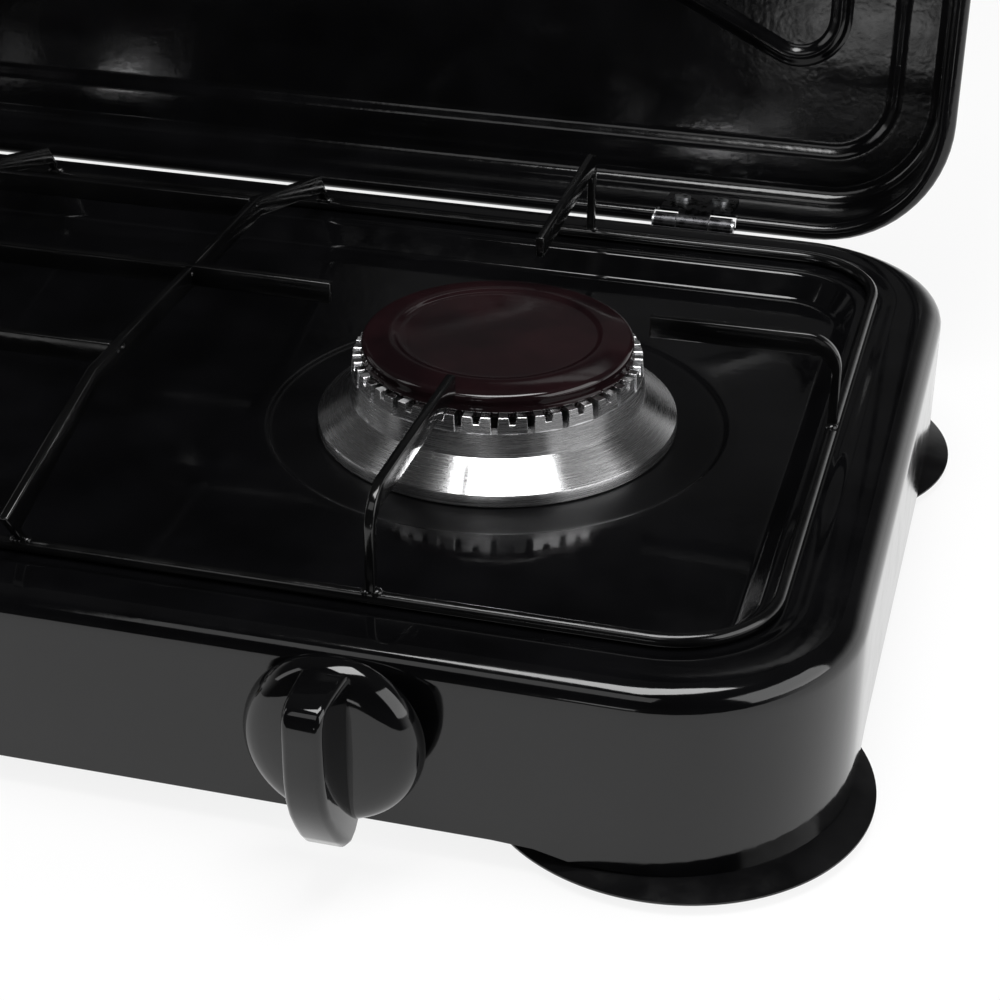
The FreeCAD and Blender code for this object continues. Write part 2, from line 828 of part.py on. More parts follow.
def make_gas_rail():
    rail = new_body("gas_rail")
    level = size("rail_level")
    path = sketch_on(rail, "path", lift=level)
    end = size("rail_end")
    depth = rail_place
    side = inlet_across
    start_of_inlet = half_depth - size("inlet_start")
    bend = size("rail_bend")
    corner = Part.Circle(vector(-side + bend, -depth + bend), FreeCAD.Vector(0, 0, 1), bend.value)
    path.addGeometry(Part.LineSegment(vector(end, -depth), vector(-side + bend, -depth)), False)
    path.addGeometry(Part.ArcOfCircle(corner, math.pi, math.pi * 1.5), False)
    path.addGeometry(Part.LineSegment(vector(-side, -depth + bend), vector(-side, start_of_inlet)), False)
    pin_point(path, 0, 1, end, -depth)
    constrain(path, "Horizontal", 0)
    constrain(path, "Tangent", 0, 2, 1, 2)
    constrain(path, "Tangent", 1, 1, 2, 1)
    constrain(path, "Radius", 1, bend)
    constrain(path, "Vertical", 2)
    pin_point(path, 2, 2, -side, start_of_inlet)
    ring = sketch_on(rail, "section", "YZ_Plane", end)
    draw_circle(ring, -depth, level, size("rail_radius"))
    draw_circle(ring, -depth, level, size("rail_radius") - size("rail_wall"))
    pipe = rail.newObject("PartDesign::AdditivePipe", "GasRailTube")
    pipe.Profile = ring
    pipe.Spine = (path, ["Edge1", "Edge2", "Edge3"])
    document.recompute()
    keep("gas_rail", rail)

    plug_radius = size("rail_radius") - size("rail_wall") - size("sliding_gap")
    plug_depth = size("plug_depth")
    shank = rod("PlugShank", (end - plug_depth, -depth, level), plug_radius, plug_depth + touch, ALONG_X)
    cap = rod("PlugCap", (end + touch, -depth, level), size("rail_radius") + size("rail_wall"),
              size("plug_cap"), ALONG_X)
    keep("rail_plug", joined("RailPlug", shank, cap))

    nozzle = new_body("inlet_nozzle", (-side, 0, level))
    grip_start = start_of_inlet - size("nozzle_grip")
    fit = size("rail_radius") + size("sliding_gap")
    body_radius = size("nozzle_radius")
    back = half_depth
    shoulder = back - wall - touch
    collar_end = back + size("nozzle_collar")
    tail = back + size("nozzle_length")
    bore = size("nozzle_bore")
    neck = bore + size("nozzle_wall")
    barb = neck + size("barb_height")
    pitch = size("barb_length")
    sleeve = fit + size("nozzle_sleeve")
    turn_profile(nozzle, "turning", [
        (fit, grip_start), (sleeve, grip_start), (sleeve, shoulder), (body_radius, shoulder),
        (body_radius, collar_end), (neck, collar_end), (neck, tail - pitch * 2),
        (barb, tail - pitch * 1.6), (neck, tail - pitch), (barb, tail - pitch), (neck - 0.4, tail),
        (bore, tail), (bore, start_of_inlet + 1.0), (fit, start_of_inlet + 1.0)], plane="XY_Plane")
    keep("inlet_nozzle", nozzle)
    blank = plain("Prism", "NutBlank", (-side, back + touch, level), ALONG_Y,
                  Circumradius=size("nut_across") / math.sqrt(3), Height=size("nut_height"))
    hole = rod("NutHole", (-side, back - 1, level), body_radius + size("sliding_gap"),
               size("nut_height") * 2, ALONG_Y)
    keep("inlet_nut", cut("InletNut", blank, hole))


# The grip of a knob seen from the side: shares of its reach and of its rise or drop
GRIP_SIDE = (
    (0.16, 0.94), (0.33, 0.98), (0.50, 0.995), (0.70, 1.0), (0.84, 0.99), (0.93, 0.93), (0.99, 0.82),
    (1.0, 0.62), (1.0, 0.24), (0.995, 0.04), (0.95, -0.20), (0.87, -0.40), (0.75, -0.60), (0.61, -0.79),
    (0.475, -0.95), (0.35, -1.0), (0.22, -0.95), (0.10, -0.83))


def make_valve(side_name, side):
    across = burner_side * side
    tag = stem_name(side_name)
    level = size("knob_level")
    front = half_depth - wall - touch
    length = size("valve_length")
    width = size("valve_width")
    bottom = size("valve_bottom")
    blank = block("ValveBlank" + tag, (across - width / 2, -front, bottom),
                  (width, length, size("valve_top") - bottom))
    lug_reach = size("panel_screw_offset") + size("lug_round")
    lugs = block("ValveLugs" + tag, (across - lug_reach, -front, level - size("lug_height") / 2),
                 (lug_reach * 2, size("lug_thickness"), size("lug_height")))
    inner_end = half_depth - size("stem_inner_end")
    stem_bore = rod("StemBore" + tag, (across, -front - 1, level), size("stem_radius") + size("sliding_gap"),
                    front + 1 - inner_end + size("push_travel") + 2.0, ALONG_Y)
    pocket = rod("SpringPocket" + tag, (across, -front - 1, level), size("spring_pocket"),
                 size("spring_pocket_depth") + 1, ALONG_Y)
    rail_bore = rod("RailBore" + tag, (across - width, -rail_place, size("rail_level")),
                    size("rail_radius") + size("sliding_gap"), width * 2, ALONG_X)
    back = length - front
    jet_radius = size("jet_radius")
    thread = jet_radius - size("jet_shoulder")
    outlet = rod("Outlet" + tag, (across, back - size("outlet_depth"), size("tube_level")), thread,
                 size("outlet_depth") + 1, ALONG_Y)
    tools = [stem_bore, pocket, rail_bore, outlet]
    for number, direction in enumerate((1, -1)):
        place = screw_place(side, direction)
        tools.append(rod("LugHole%s%d" % (tag, number), (place[0], -front - 1, place[1]),
                         size("panel_screw_radius") + size("sliding_gap"), length / 2, ALONG_Y))
    casting = cut("ValveBody" + tag, joined("ValveCasting" + tag, blank, lugs), *tools)
    keep("valve_body_" + side_name, casting)

    jet = new_body("jet_" + side_name, (across, 0, size("tube_level")))
    drilling = size("jet_bore")
    shank = thread - size("sliding_gap")
    inner_face = back - size("outlet_depth") * 0.6
    turn_profile(jet, "turning", [
        (drilling, inner_face), (shank, inner_face), (shank, back + touch), (jet_radius, back + touch),
        (jet_radius, back + size("jet_length") / 2), (jet_radius / 2, back + size("jet_length")),
        (drilling, back + size("jet_length"))], plane="XY_Plane")
    keep("jet_" + side_name, jet)

    knob_back = half_depth + size("knob_gap")
    stem_front = knob_back + size("socket_depth")
    stem = rod("Stem" + tag, (across, -stem_front, level), size("stem_radius"), stem_front - inner_end,
               ALONG_Y)
    keep("valve_stem_" + side_name, stem)

    washer_place = half_depth - size("washer_place")
    disc = rod("WasherDisc" + tag, (across, -washer_place, level),
               size("spring_pocket") - size("lift_gap"), size("washer_thickness"), ALONG_Y)
    washer_hole = rod("WasherHole" + tag, (across, -washer_place - 1, level),
                      size("stem_radius") + size("sliding_gap"), size("washer_thickness") + 2, ALONG_Y)
    keep("thrust_washer_" + side_name, cut("Washer" + tag, disc, washer_hole))

    wire = size("spring_wire")
    coil_radius = size("stem_radius") + size("lift_gap") * 2 + wire
    helix = document.addObject("Part::Helix", "SpringHelix" + tag)
    bind(helix, "Pitch", size("spring_length") / 5)
    bind(helix, "Height", size("spring_length") - wire * 2)
    bind(helix, "Radius", coil_radius)
    helix.Placement.Rotation = FreeCAD.Rotation(FreeCAD.Vector(1, 0, 0), -90)
    spring_start = -washer_place + size("washer_thickness") + touch + wire
    set_place(helix, (across, spring_start, level))
    section = document.addObject("Part::Circle", "SpringSection" + tag)
    bind(section, "Radius", wire)
    set_place(section, (across + coil_radius, spring_start, level))
    coil = document.addObject("Part::Sweep", "Spring" + tag)
    coil.Sections = [section]
    coil.Spine = (helix, ["Edge1"])
    coil.Solid = True
    coil.Frenet = True
    keep("stem_spring_" + side_name, coil)

    knob = new_body("knob_" + side_name, (across, 0, level))
    radius = size("knob_radius")
    rim_front = knob_back + size("knob_rim")
    dome = size("knob_dome")
    soft = size("knob_round")
    turn_profile(knob, "disc", [
        (0, -knob_back), (radius - soft, -knob_back), (radius - soft * 0.25, -knob_back - soft),
        (radius, -rim_front + soft), (radius - soft * 0.8, -rim_front - dome * 0.04),
        (radius * 0.8, -rim_front - dome * 0.45), (radius * 0.5, -rim_front - dome * 0.82),
        (0, -rim_front - dome)], plane="XY_Plane")
    half = size("grip_width") / 2
    grip = sketch_on(knob, "grip_outline", "YZ_Plane", -half)
    draw_outline(grip, [grip_point(knob_back, *shares) for shares in GRIP_SIDE])
    add_feature(knob, "Pad", "grip", grip, size("grip_width"))
    bare_from = -(rim_front + dome)

    def outer_corner(edge):
        box = edge.BoundBox
        return near(abs(box.XMin), half) and near(box.XMin, box.XMax) and box.YMax < bare_from.value
    round_edges(knob, "grip_rounding", outer_corner, size("grip_round"))
    socket = sketch_on(knob, "socket_outline", "XZ_Plane", knob_back)
    draw_circle(socket, 0, 0, size("stem_radius") + size("sliding_gap"))
    add_feature(knob, "Pocket", "socket", socket, stem_front - knob_back + touch, backwards=True)
    keep("knob_" + side_name, knob)


def grip_point(knob_back, reach_share, rise_share):
    """One corner of the grip seen from the side, from its shares of the reach and the rise or drop."""
    rise = size("grip_rise")
    drop = size("grip_length") - rise
    height = (rise if rise_share > 0 else drop) * rise_share
    return -(knob_back + size("grip_reach") * reach_share), height


def screw_place(side, direction):
    """Where a panel screw sits beside the valve, across and up."""
    across = burner_side * side + size("panel_screw_offset") * direction
    return across, size("knob_level") + size("panel_screw_rise") * direction


def make_panel_screws():
    screws = []
    front = half_depth
    for side_name, side in SIDES:
        for number, direction in enumerate((1, -1)):
            across, up = screw_place(side, direction)
            tag = "%s%d" % (stem_name(side_name), number)
            head = size("panel_screw_head")
            start = -front - touch - head
            place = (across, start, up)
            cap = rod("PanelScrewHead" + tag, place, size("panel_screw_radius") * 1.7, head, ALONG_Y)
            shank = rod("PanelScrewShank" + tag, place, size("panel_screw_radius"),
                        size("panel_screw_length"), ALONG_Y)
            screws.append(joined("PanelScrew" + tag, cap, shank))
    keep("panel_screws", gathered("PanelScrews", *screws))


# Grate


rod_level = ledge + touch + size("rod_radius")
rod_top = rod_level + size("rod_radius")


def make_grate_frame():
    frame = new_body("grate_frame", (0, burner_y, 0))
    path = sketch_on(frame, "path", lift=rod_level)
    draw_rounded(path, size("frame_width") / 2, size("frame_depth") / 2, size("frame_corner"))
    section = sketch_on(frame, "section", "YZ_Plane")
    draw_circle(section, -size("frame_depth") / 2, rod_level, size("rod_radius"))
    pipe = frame.newObject("PartDesign::AdditivePipe", "GrateFrameRod")
    pipe.Profile = section
    pipe.Spine = (path, ["Edge%d" % (n + 1) for n in range(8)])
    document.recompute()
    keep("grate_frame", frame)


def finger_outline(reach, tip, drop):
    """Side view of a finger, from its tip at the burner to its leg on the frame rod."""
    top = size("grate_level")
    height = size("strip_height")
    outer = reach + size("leg_thickness") / 2
    inner = reach - size("leg_thickness") / 2
    foot = rod_top + touch
    return [(tip, top - drop - height), (inner, top - height), (inner, foot), (outer, foot),
            (outer, top), (tip, top - drop)]


def make_fingers(side_name, side):
    thickness = size("strip_thickness")
    depth = size("frame_depth") / 2
    across = size("frame_width") / 2 - burner_side
    level_tip = (size("side_tip_radius"), size("side_tip_drop"))
    low_tip = (size("tip_radius"), size("tip_drop"))
    plans = (("front", "YZ_Plane", depth, -1, low_tip, size("finger_bend")),
             ("back", "YZ_Plane", depth, 1, low_tip, size("back_finger_bend")),
             ("side", "XZ_Plane", across, side, level_tip, size("finger_bend")))
    for name, plane, reach, sign, tip, bend in plans:
        finger = new_body("grate_finger_%s_%s" % (name, side_name), (burner_side * side, burner_y, 0))
        outline = sketch_on(finger, "outline", plane, -thickness / 2)
        draw_outline(outline, [(x * sign, z) for x, z in finger_outline(reach, *tip)])
        add_feature(finger, "Pad", "strip", outline, thickness)
        axis = 0 if name == "side" else 1
        outer = (reach + size("leg_thickness") / 2) * sign
        inner = (reach - size("leg_thickness") / 2) * sign
        top = size("grate_level")

        round_edges(finger, "bend", edge_at(axis, outer, top), bend)
        round_edges(finger, "inner_bend", edge_at(axis, inner, top - size("strip_height")), bend / 2)
        keep("grate_finger_%s_%s" % (name, side_name), finger)


def make_dividers():
    thickness = size("strip_thickness")
    top = size("divider_level")
    height = size("strip_height")
    end = size("frame_depth") / 2
    flat = size("divider_flat")
    end_top = size("divider_end_level")
    leg = size("leg_thickness")
    foot = rod_top + touch
    for side_name, side in SIDES:
        divider = new_body("grate_divider_" + side_name, (size("divider_place") * side, burner_y, 0))
        outline = sketch_on(divider, "outline", "YZ_Plane", -thickness / 2)
        edge = end + leg / 2
        inner = end - leg / 2
        shift = size("divider_shift")
        under = end_top - height
        lean = shift * (under - foot) / (end_top - foot)
        draw_outline(outline, [
            (-edge, foot), (-inner, foot), (-inner - lean, under), (-flat - shift, top - height),
            (flat - shift, top - height), (inner - lean, under), (inner, foot), (edge, foot),
            (edge - shift, end_top), (flat - shift, top), (-flat - shift, top), (-edge - shift, end_top)])
        add_feature(divider, "Pad", "strip", outline, thickness)
        lap = sketch_on(divider, "lap_outline", "YZ_Plane", -thickness)
        half = thickness / 2 + size("sliding_gap")
        lap_floor = top - height / 2
        draw_outline(lap, [(-half, lap_floor), (half, lap_floor), (half, top + 1), (-half, top + 1)])
        add_feature(divider, "Pocket", "lap", lap, thickness * 2, backwards=True)
        keep("grate_divider_" + side_name, divider)


def make_bars():
    thickness = size("strip_thickness")
    height = size("strip_height")
    top = size("grate_level") - size("bar_drop")
    tip = burner_side - size("tip_radius") - size("bar_short")
    place = size("divider_place")
    middle = new_body("grate_bar_middle", (0, burner_y, 0))
    outline = sketch_on(middle, "outline", "XZ_Plane", -thickness / 2)
    drop = size("tip_drop") - size("bar_drop")
    draw_outline(outline, [(-tip, top - drop - height), (-place, top - height), (place, top - height),
                           (tip, top - drop - height), (tip, top - drop), (place, top), (-place, top),
                           (-tip, top - drop)])
    add_feature(middle, "Pad", "strip", outline, thickness)
    half = thickness / 2 + size("sliding_gap")
    lap_top = size("divider_level") - height / 2 + size("sliding_gap")
    for name, side in SIDES:
        lap = sketch_on(middle, "lap_%s_outline" % name, "XZ_Plane", -thickness)
        low = top - height - 1
        draw_outline(lap, [(place * side - half, low), (place * side + half, low),
                           (place * side + half, lap_top), (place * side - half, lap_top)])
        add_feature(middle, "Pocket", "lap_" + name, lap, thickness * 2, backwards=True)
    keep("grate_bar_middle", middle)
    span = (place - thickness / 2 - touch) * 2
    for name, side in (("front", -1), ("back", 1)):
        along = burner_y + size("bar_place") * side - thickness / 2
        bar = block("GrateBar" + stem_name(name), (-span / 2, along, size("divider_level") - height),
                    (span, thickness, height))
        keep("grate_bar_" + name, bar)


# Lid, drawn closed about the hinge axis and then swung open


hinge_y = half_depth + size("hinge_behind")
hinge_z = size("hinge_level")


def lid_body(label, across=0):
    body = new_body(label, (across, hinge_y, hinge_z))
    body.Placement.Rotation = FreeCAD.Rotation(FreeCAD.Vector(1, 0, 0), -DRIVING_SIZES["lid_open"])
    return body


def make_lid():
    lid = lid_body("lid_shell")
    front = -(lid_front_edge + hinge_y)
    back = size("lid_overhang")
    middle = (front + back) / 2
    deep = (back - front) / 2
    wide = size("lid_width") / 2
    corner = size("lid_corner")
    hem = size("lid_hem")
    top = lid_seat + size("lid_height")
    outline = sketch_on(lid, "hem_outline", lift=lid_seat)
    draw_rounded(outline, wide, deep, corner, middle)
    add_feature(lid, "Pad", "hem", outline, wall)
    tray = sketch_on(lid, "tray_outline", lift=lid_seat)
    draw_rounded(tray, wide - hem, deep - hem, corner - hem, middle)
    add_feature(lid, "Pad", "tray", tray, size("lid_height"))
    hollow = sketch_on(lid, "hollow_outline", lift=lid_seat)
    draw_rounded(hollow, wide - hem - wall, deep - hem - wall, corner - hem - wall, middle)
    add_feature(lid, "Pocket", "hollow", hollow, size("lid_height") - wall, backwards=True)
    round_edges(lid, "hollow_rounding", flat_at(top - wall), size("lid_inner_round"))
    round_edges(lid, "tray_rounding", flat_at(top), size("lid_outer_round"))
    band = hem + wall + size("panel_band")
    step = size("panel_step")
    raised = sketch_on(lid, "raised_outline", lift=top - wall)
    draw_rounded(raised, wide - band + wall, deep - band + wall, corner - band + wall, middle)
    add_feature(lid, "Pad", "raised", raised, step + wall)
    sunk = sketch_on(lid, "sunk_outline", lift=top - wall)
    draw_rounded(sunk, wide - band, deep - band, corner - band, middle)
    add_feature(lid, "Pocket", "sunk", sunk, step, backwards=True)
    round_edges(lid, "raised_rounding", flat_at(top + step), size("panel_round"))

    panel = top + step - wall
    for name, side in SIDES:
        ridge = sketch_on(lid, "bead_%s_ridge" % name, lift=panel)
        draw_bead(ridge, side, 0)
        draw_bead(ridge, side, size("bead_width"))
        add_feature(lid, "Pad", "bead_%s" % name, ridge, size("bead_height"), backwards=True)

    for name, side in SIDES:
        notch = sketch_on(lid, "notch_%s_outline" % name, lift=lid_seat)
        across = size("hinge_place") * side
        reach = size("hinge_width") / 2 + 1.0
        near_side = back - hem - wall - 1.0
        draw_outline(notch, [(across - reach, near_side), (across + reach, near_side),
                             (across + reach, back + 1), (across - reach, back + 1)])
        add_feature(lid, "Pocket", "notch_" + name, notch, wall * 2, backwards=True)
    holes = sketch_on(lid, "rivet_holes_outline", "XZ_Plane", -back + hem)
    for side in (1, -1):
        for direction in (1, -1):
            draw_circle(holes, size("hinge_place") * side + size("hinge_width") / 4 * direction,
                        leaf_rivet_height(), size("rivet_radius") + size("sliding_gap"))
    add_feature(lid, "Pocket", "rivet_holes", holes, wall * 2, backwards=True)
    keep("lid_shell", lid)


def leaf_rivet_height():
    return lid_seat + size("leaf_length") * 0.62


def draw_bead(sketch, side, inset):
    """One rounded triangle on the lid panel that points to the middle of the lid."""
    inset = term(inset)
    wide = size("lid_width") / 2
    low_y = -size("bead_low")
    high_y = -size("bead_high")
    base_x = wide - size("bead_side")
    point_x = wide - size("bead_point")
    middle_y = (low_y + high_y) / 2
    slope = math.atan2((low_y - middle_y).value, (base_x - point_x).value)
    far = inset / math.sin(slope)
    lift = inset * (1 / math.cos(slope) + math.tan(slope))
    corners = [(base_x - inset, low_y - lift), (base_x - inset, high_y + lift), (point_x + far, middle_y)]
    draw_rounded_corners(sketch, [(x * side, y) for x, y in corners], size("bead_round") - inset)


def draw_rounded_corners(sketch, corners, radius):
    """A closed outline whose corners are arcs tangent to the sides."""
    count = len(corners)
    first = sketch.GeometryCount
    spots = [vector(*corner) for corner in corners]
    ends = []
    for number in range(count):
        here = spots[number]
        back = (spots[number - 1] - here).normalize()
        onward = (spots[(number + 1) % count] - here).normalize()
        half = back.getAngle(onward) / 2
        reach = radius.value / math.tan(half)
        bisector = (back + onward).normalize()
        centre = here + bisector * (radius.value / math.sin(half))
        ends.append((here + back * reach, here + onward * reach, centre))
    for number in range(count):
        entry, leave, centre = ends[number]
        middle = centre + (spots[number] - centre).normalize() * radius.value
        sketch.addGeometry(Part.Arc(entry, middle, leave), False)
        sketch.addGeometry(Part.LineSegment(leave, ends[(number + 1) % count][0]), False)
    for number in range(count * 2):
        sketch.addConstraint(Sketcher.Constraint("Block", first + number))


def make_hinge(side_name, side):
    across = size("hinge_place") * side
    tag = stem_name(side_name)
    knuckle = size("knuckle_radius")
    gap = size("knuckle_gap")
    width = size("hinge_width")
    leaf = size("leaf_thickness")
    pin = size("pin_radius")
    side_knuckle = width * 0.28
    middle_knuckle = width - side_knuckle * 2 - gap * 2
    plate_foot = hinge_z - size("leaf_length") - knuckle
    plate = block("BodyLeafPlate" + tag, (across - width / 2, half_depth + touch, plate_foot),
                  (width, leaf, size("leaf_length")))
    pieces = [plate]
    for number, start in enumerate((-width / 2, width / 2 - side_knuckle)):
        pieces.append(rod("BodyKnuckle%s%d" % (tag, number), (across + start, hinge_y, hinge_z), knuckle,
                          side_knuckle, ALONG_X))
        pieces.append(block("BodyBridge%s%d" % (tag, number),
                            (across + start, half_depth + touch, hinge_z - knuckle - 2.0),
                            (side_knuckle, size("hinge_behind"), knuckle + 1.0)))
    bore = rod("BodyPinBore" + tag, (across - width, hinge_y, hinge_z), pin + size("sliding_gap"), width * 2,
               ALONG_X)
    tools = [bore]
    for number, direction in enumerate((1, -1)):
        tools.append(rod("BodyLeafHole%s%d" % (tag, number),
                         (across + width / 4 * direction, half_depth - 1,
                          hinge_z - size("leaf_length") / 2 - knuckle),
                         size("rivet_radius") + size("sliding_gap"), 4.0, ALONG_Y))
    keep("hinge_leaf_body_" + side_name,
         cut("BodyLeaf" + tag, joined("BodyLeafBlank" + tag, *pieces), *tools))

    lid_leaf = lid_body("hinge_leaf_lid_" + side_name, across)
    barrel = sketch_on(lid_leaf, "barrel_outline", "YZ_Plane", -middle_knuckle / 2)
    draw_circle(barrel, 0, 0, knuckle)
    add_feature(lid_leaf, "Pad", "barrel", barrel, middle_knuckle)
    inside = size("lid_overhang") - size("lid_hem") - wall - touch
    arm = sketch_on(lid_leaf, "arm_outline", "YZ_Plane", -middle_knuckle / 2)
    arm_low = 0.5
    arm_high = arm_low + leaf
    draw_outline(arm, [(inside - leaf, arm_low), (0, arm_low), (0, arm_high), (inside, arm_high),
                       (inside, arm_high + 1.0), (inside - leaf, arm_high + 1.0)])
    add_feature(lid_leaf, "Pad", "arm", arm, middle_knuckle)
    strap = sketch_on(lid_leaf, "strap_outline", "XZ_Plane", -inside)
    low = lid_seat - size("leaf_thickness") * 0.5
    strap_half = width / 2 - 1.0
    draw_outline(strap, [(-middle_knuckle / 2, arm_low), (middle_knuckle / 2, arm_low),
                         (middle_knuckle / 2, low + 1.6), (strap_half, low + 1.6),
                         (strap_half, low + size("leaf_length")), (-strap_half, low + size("leaf_length")),
                         (-strap_half, low + 1.6), (-middle_knuckle / 2, low + 1.6)])
    add_feature(lid_leaf, "Pad", "strap", strap, leaf)
    eye = sketch_on(lid_leaf, "eye_outline", "YZ_Plane", -width)
    draw_circle(eye, 0, 0, pin + size("sliding_gap"))
    add_feature(lid_leaf, "Pocket", "eye", eye, width * 2, backwards=True)
    holes = sketch_on(lid_leaf, "rivet_holes_outline", "XZ_Plane", -inside - 1)
    for direction in (1, -1):
        draw_circle(holes, width / 4 * direction, leaf_rivet_height(),
                    size("rivet_radius") + size("sliding_gap"))
    add_feature(lid_leaf, "Pocket", "rivet_holes", holes, leaf + 3, backwards=True)
    keep("hinge_leaf_lid_" + side_name, lid_leaf)

    head = size("pin_head")
    shaft = rod("PinShaft" + tag, (across - width / 2 - head, hinge_y, hinge_z), pin, width + head * 2,
                ALONG_X)
    caps = []
    for number, start in enumerate((-width / 2 - head, width / 2 + touch)):
        caps.append(rod("PinCap%s%d" % (tag, number), (across + start, hinge_y, hinge_z), pin + head,
                        head - touch, ALONG_X))
    keep("hinge_pin_" + side_name, joined("HingePin" + tag, shaft, *caps))


def make_hinge_fixings():
    inside = size("lid_overhang") - size("lid_hem") - wall - touch
    leaf = size("leaf_thickness")
    rivets = lid_body("lid_rivets")
    radius = size("rivet_radius")
    spots = [(size("hinge_place") * side + size("hinge_width") / 4 * direction)
             for side in (1, -1) for direction in (1, -1)]
    features = (("shanks", -(inside - leaf - touch - 0.6), radius, leaf + wall + touch * 3 + 1.2, True),
                ("inner_heads", -(inside - leaf - touch - 0.9), radius * 1.7, 0.9, True),
                ("outer_heads", -(size("lid_overhang") - size("lid_hem") + touch), radius * 1.7, 0.9, True))
    for name, lift, spread, length, backwards in features:
        outline = sketch_on(rivets, name + "_outline", "XZ_Plane", lift)
        for spot in spots:
            draw_circle(outline, spot, leaf_rivet_height(), spread)
        add_feature(rivets, "Pad", name, outline, length, backwards=backwards)
    keep("lid_rivets", rivets)

    screws = []
    level = hinge_z - size("leaf_length") / 2 - size("knuckle_radius")
    start = half_depth - wall * 3
    outside = half_depth + leaf + touch * 2
    for number, spot in enumerate(spots):
        shank = rod("HingeScrewShank%d" % number, (spot, start, level), radius, outside - start + 0.5,
                    ALONG_Y)
        cap = rod("HingeScrewHead%d" % number, (spot, outside, level), radius * 1.7, 1.0, ALONG_Y)
        screws.append(joined("HingeScrew%d" % number, shank, cap))
    keep("hinge_screws", gathered("HingeScrews", *screws))


make_body_shell()
make_feet()
for one_name, one_side in SIDES:
    make_burner(one_name, one_side)
    make_valve(one_name, one_side)
    make_fingers(one_name, one_side)
    make_hinge(one_name, one_side)
make_cup_screws()
make_gas_rail()
make_panel_screws()
make_grate_frame()
make_dividers()
make_bars()
make_lid()
make_hinge_fixings()
document.recompute()


# Check and write every piece


failed = [thing.Label for thing in document.Objects if "Invalid" in thing.State or "Error" in thing.State]
if failed:
    raise RuntimeError("failed: " + ", ".join(failed))
os.makedirs("parts", exist_ok=True)
broken = [node.Label for node in NODES
          if node.Shape.isNull() or not node.Shape.isValid() or node.Shape.Volume <= 0]
if broken:
    raise RuntimeError("no valid shape: " + ", ".join(broken))
for node in NODES:
    node.Shape.exportStep("parts/%s.step" % node.Label)
print("%d nodes written" % len(NODES))
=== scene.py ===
# %% [markdown]
# A low two-burner gas stove with its pressed lid standing open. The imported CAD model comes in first
# and stays where it is, so every finished piece is made around it: a piece either gives a CAD node
# a better finish, or stands in its place with softer edges and finer detail.

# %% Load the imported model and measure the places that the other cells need
import math

import bmesh
import bpy
from mathutils import Matrix, Vector
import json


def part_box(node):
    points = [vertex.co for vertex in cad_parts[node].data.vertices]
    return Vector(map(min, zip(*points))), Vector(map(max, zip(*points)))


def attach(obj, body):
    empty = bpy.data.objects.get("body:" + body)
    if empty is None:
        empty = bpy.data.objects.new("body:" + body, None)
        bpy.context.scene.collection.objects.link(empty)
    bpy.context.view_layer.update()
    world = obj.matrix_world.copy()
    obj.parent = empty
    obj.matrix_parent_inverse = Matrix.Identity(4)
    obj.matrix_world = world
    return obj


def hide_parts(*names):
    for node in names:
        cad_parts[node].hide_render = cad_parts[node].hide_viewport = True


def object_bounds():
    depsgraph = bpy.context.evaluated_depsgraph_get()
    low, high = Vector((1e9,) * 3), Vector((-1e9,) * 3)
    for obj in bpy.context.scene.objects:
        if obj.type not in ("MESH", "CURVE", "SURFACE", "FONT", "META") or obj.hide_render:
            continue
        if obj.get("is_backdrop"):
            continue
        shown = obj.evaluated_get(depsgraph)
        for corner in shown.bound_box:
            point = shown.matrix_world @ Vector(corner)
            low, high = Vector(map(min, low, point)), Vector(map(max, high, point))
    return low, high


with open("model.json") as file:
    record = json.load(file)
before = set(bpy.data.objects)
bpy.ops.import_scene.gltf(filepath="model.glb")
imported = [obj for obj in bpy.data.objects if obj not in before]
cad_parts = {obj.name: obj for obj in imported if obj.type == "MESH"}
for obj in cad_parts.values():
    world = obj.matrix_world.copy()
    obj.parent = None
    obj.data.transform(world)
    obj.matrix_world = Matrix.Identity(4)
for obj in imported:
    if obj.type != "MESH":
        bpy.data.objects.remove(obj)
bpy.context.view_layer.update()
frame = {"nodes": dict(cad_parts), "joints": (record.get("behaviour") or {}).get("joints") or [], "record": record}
MM = 0.001
scene = bpy.context.scene

cap_low, cap_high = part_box("burner_cap_right")
BURNER_X = (cap_low.x + cap_high.x) / 2
MIDDLE_Y = (cap_low.y + cap_high.y) / 2
HINGE = next(j for j in frame["joints"] if j["name"] == "lid_hinge")
HINGE_Y, HINGE_Z = HINGE["pos_m"][1], HINGE["pos_m"][2]
LID_LEAN = math.radians(HINGE["range_deg"][1])
print("burners at x", round(BURNER_X, 4), "y", round(MIDDLE_Y, 4), "hinge", HINGE_Y, HINGE_Z)

# %% [markdown]
# The camera stands to the right of the front and looks down by about thirty degrees. Its place was
# worked out from the round burner and the straight edges of the body, so it is written as a place
# and three angles instead of being aimed by eye.

# %% Camera
def add_object(name, data):
    """A new object in the scene with this mesh, lamp or camera."""
    thing = bpy.data.objects.new(name, data)
    scene.collection.objects.link(thing)
    return thing


SENSOR = 36.0
IMAGE_SIDE = 1000
FOCAL_PIXELS = 2283.55
camera_data = bpy.data.cameras.new("product_camera")
camera = add_object("product_camera", camera_data)
scene.camera = camera
camera_data.sensor_width = SENSOR
camera_data.lens = FOCAL_PIXELS / IMAGE_SIDE * SENSOR

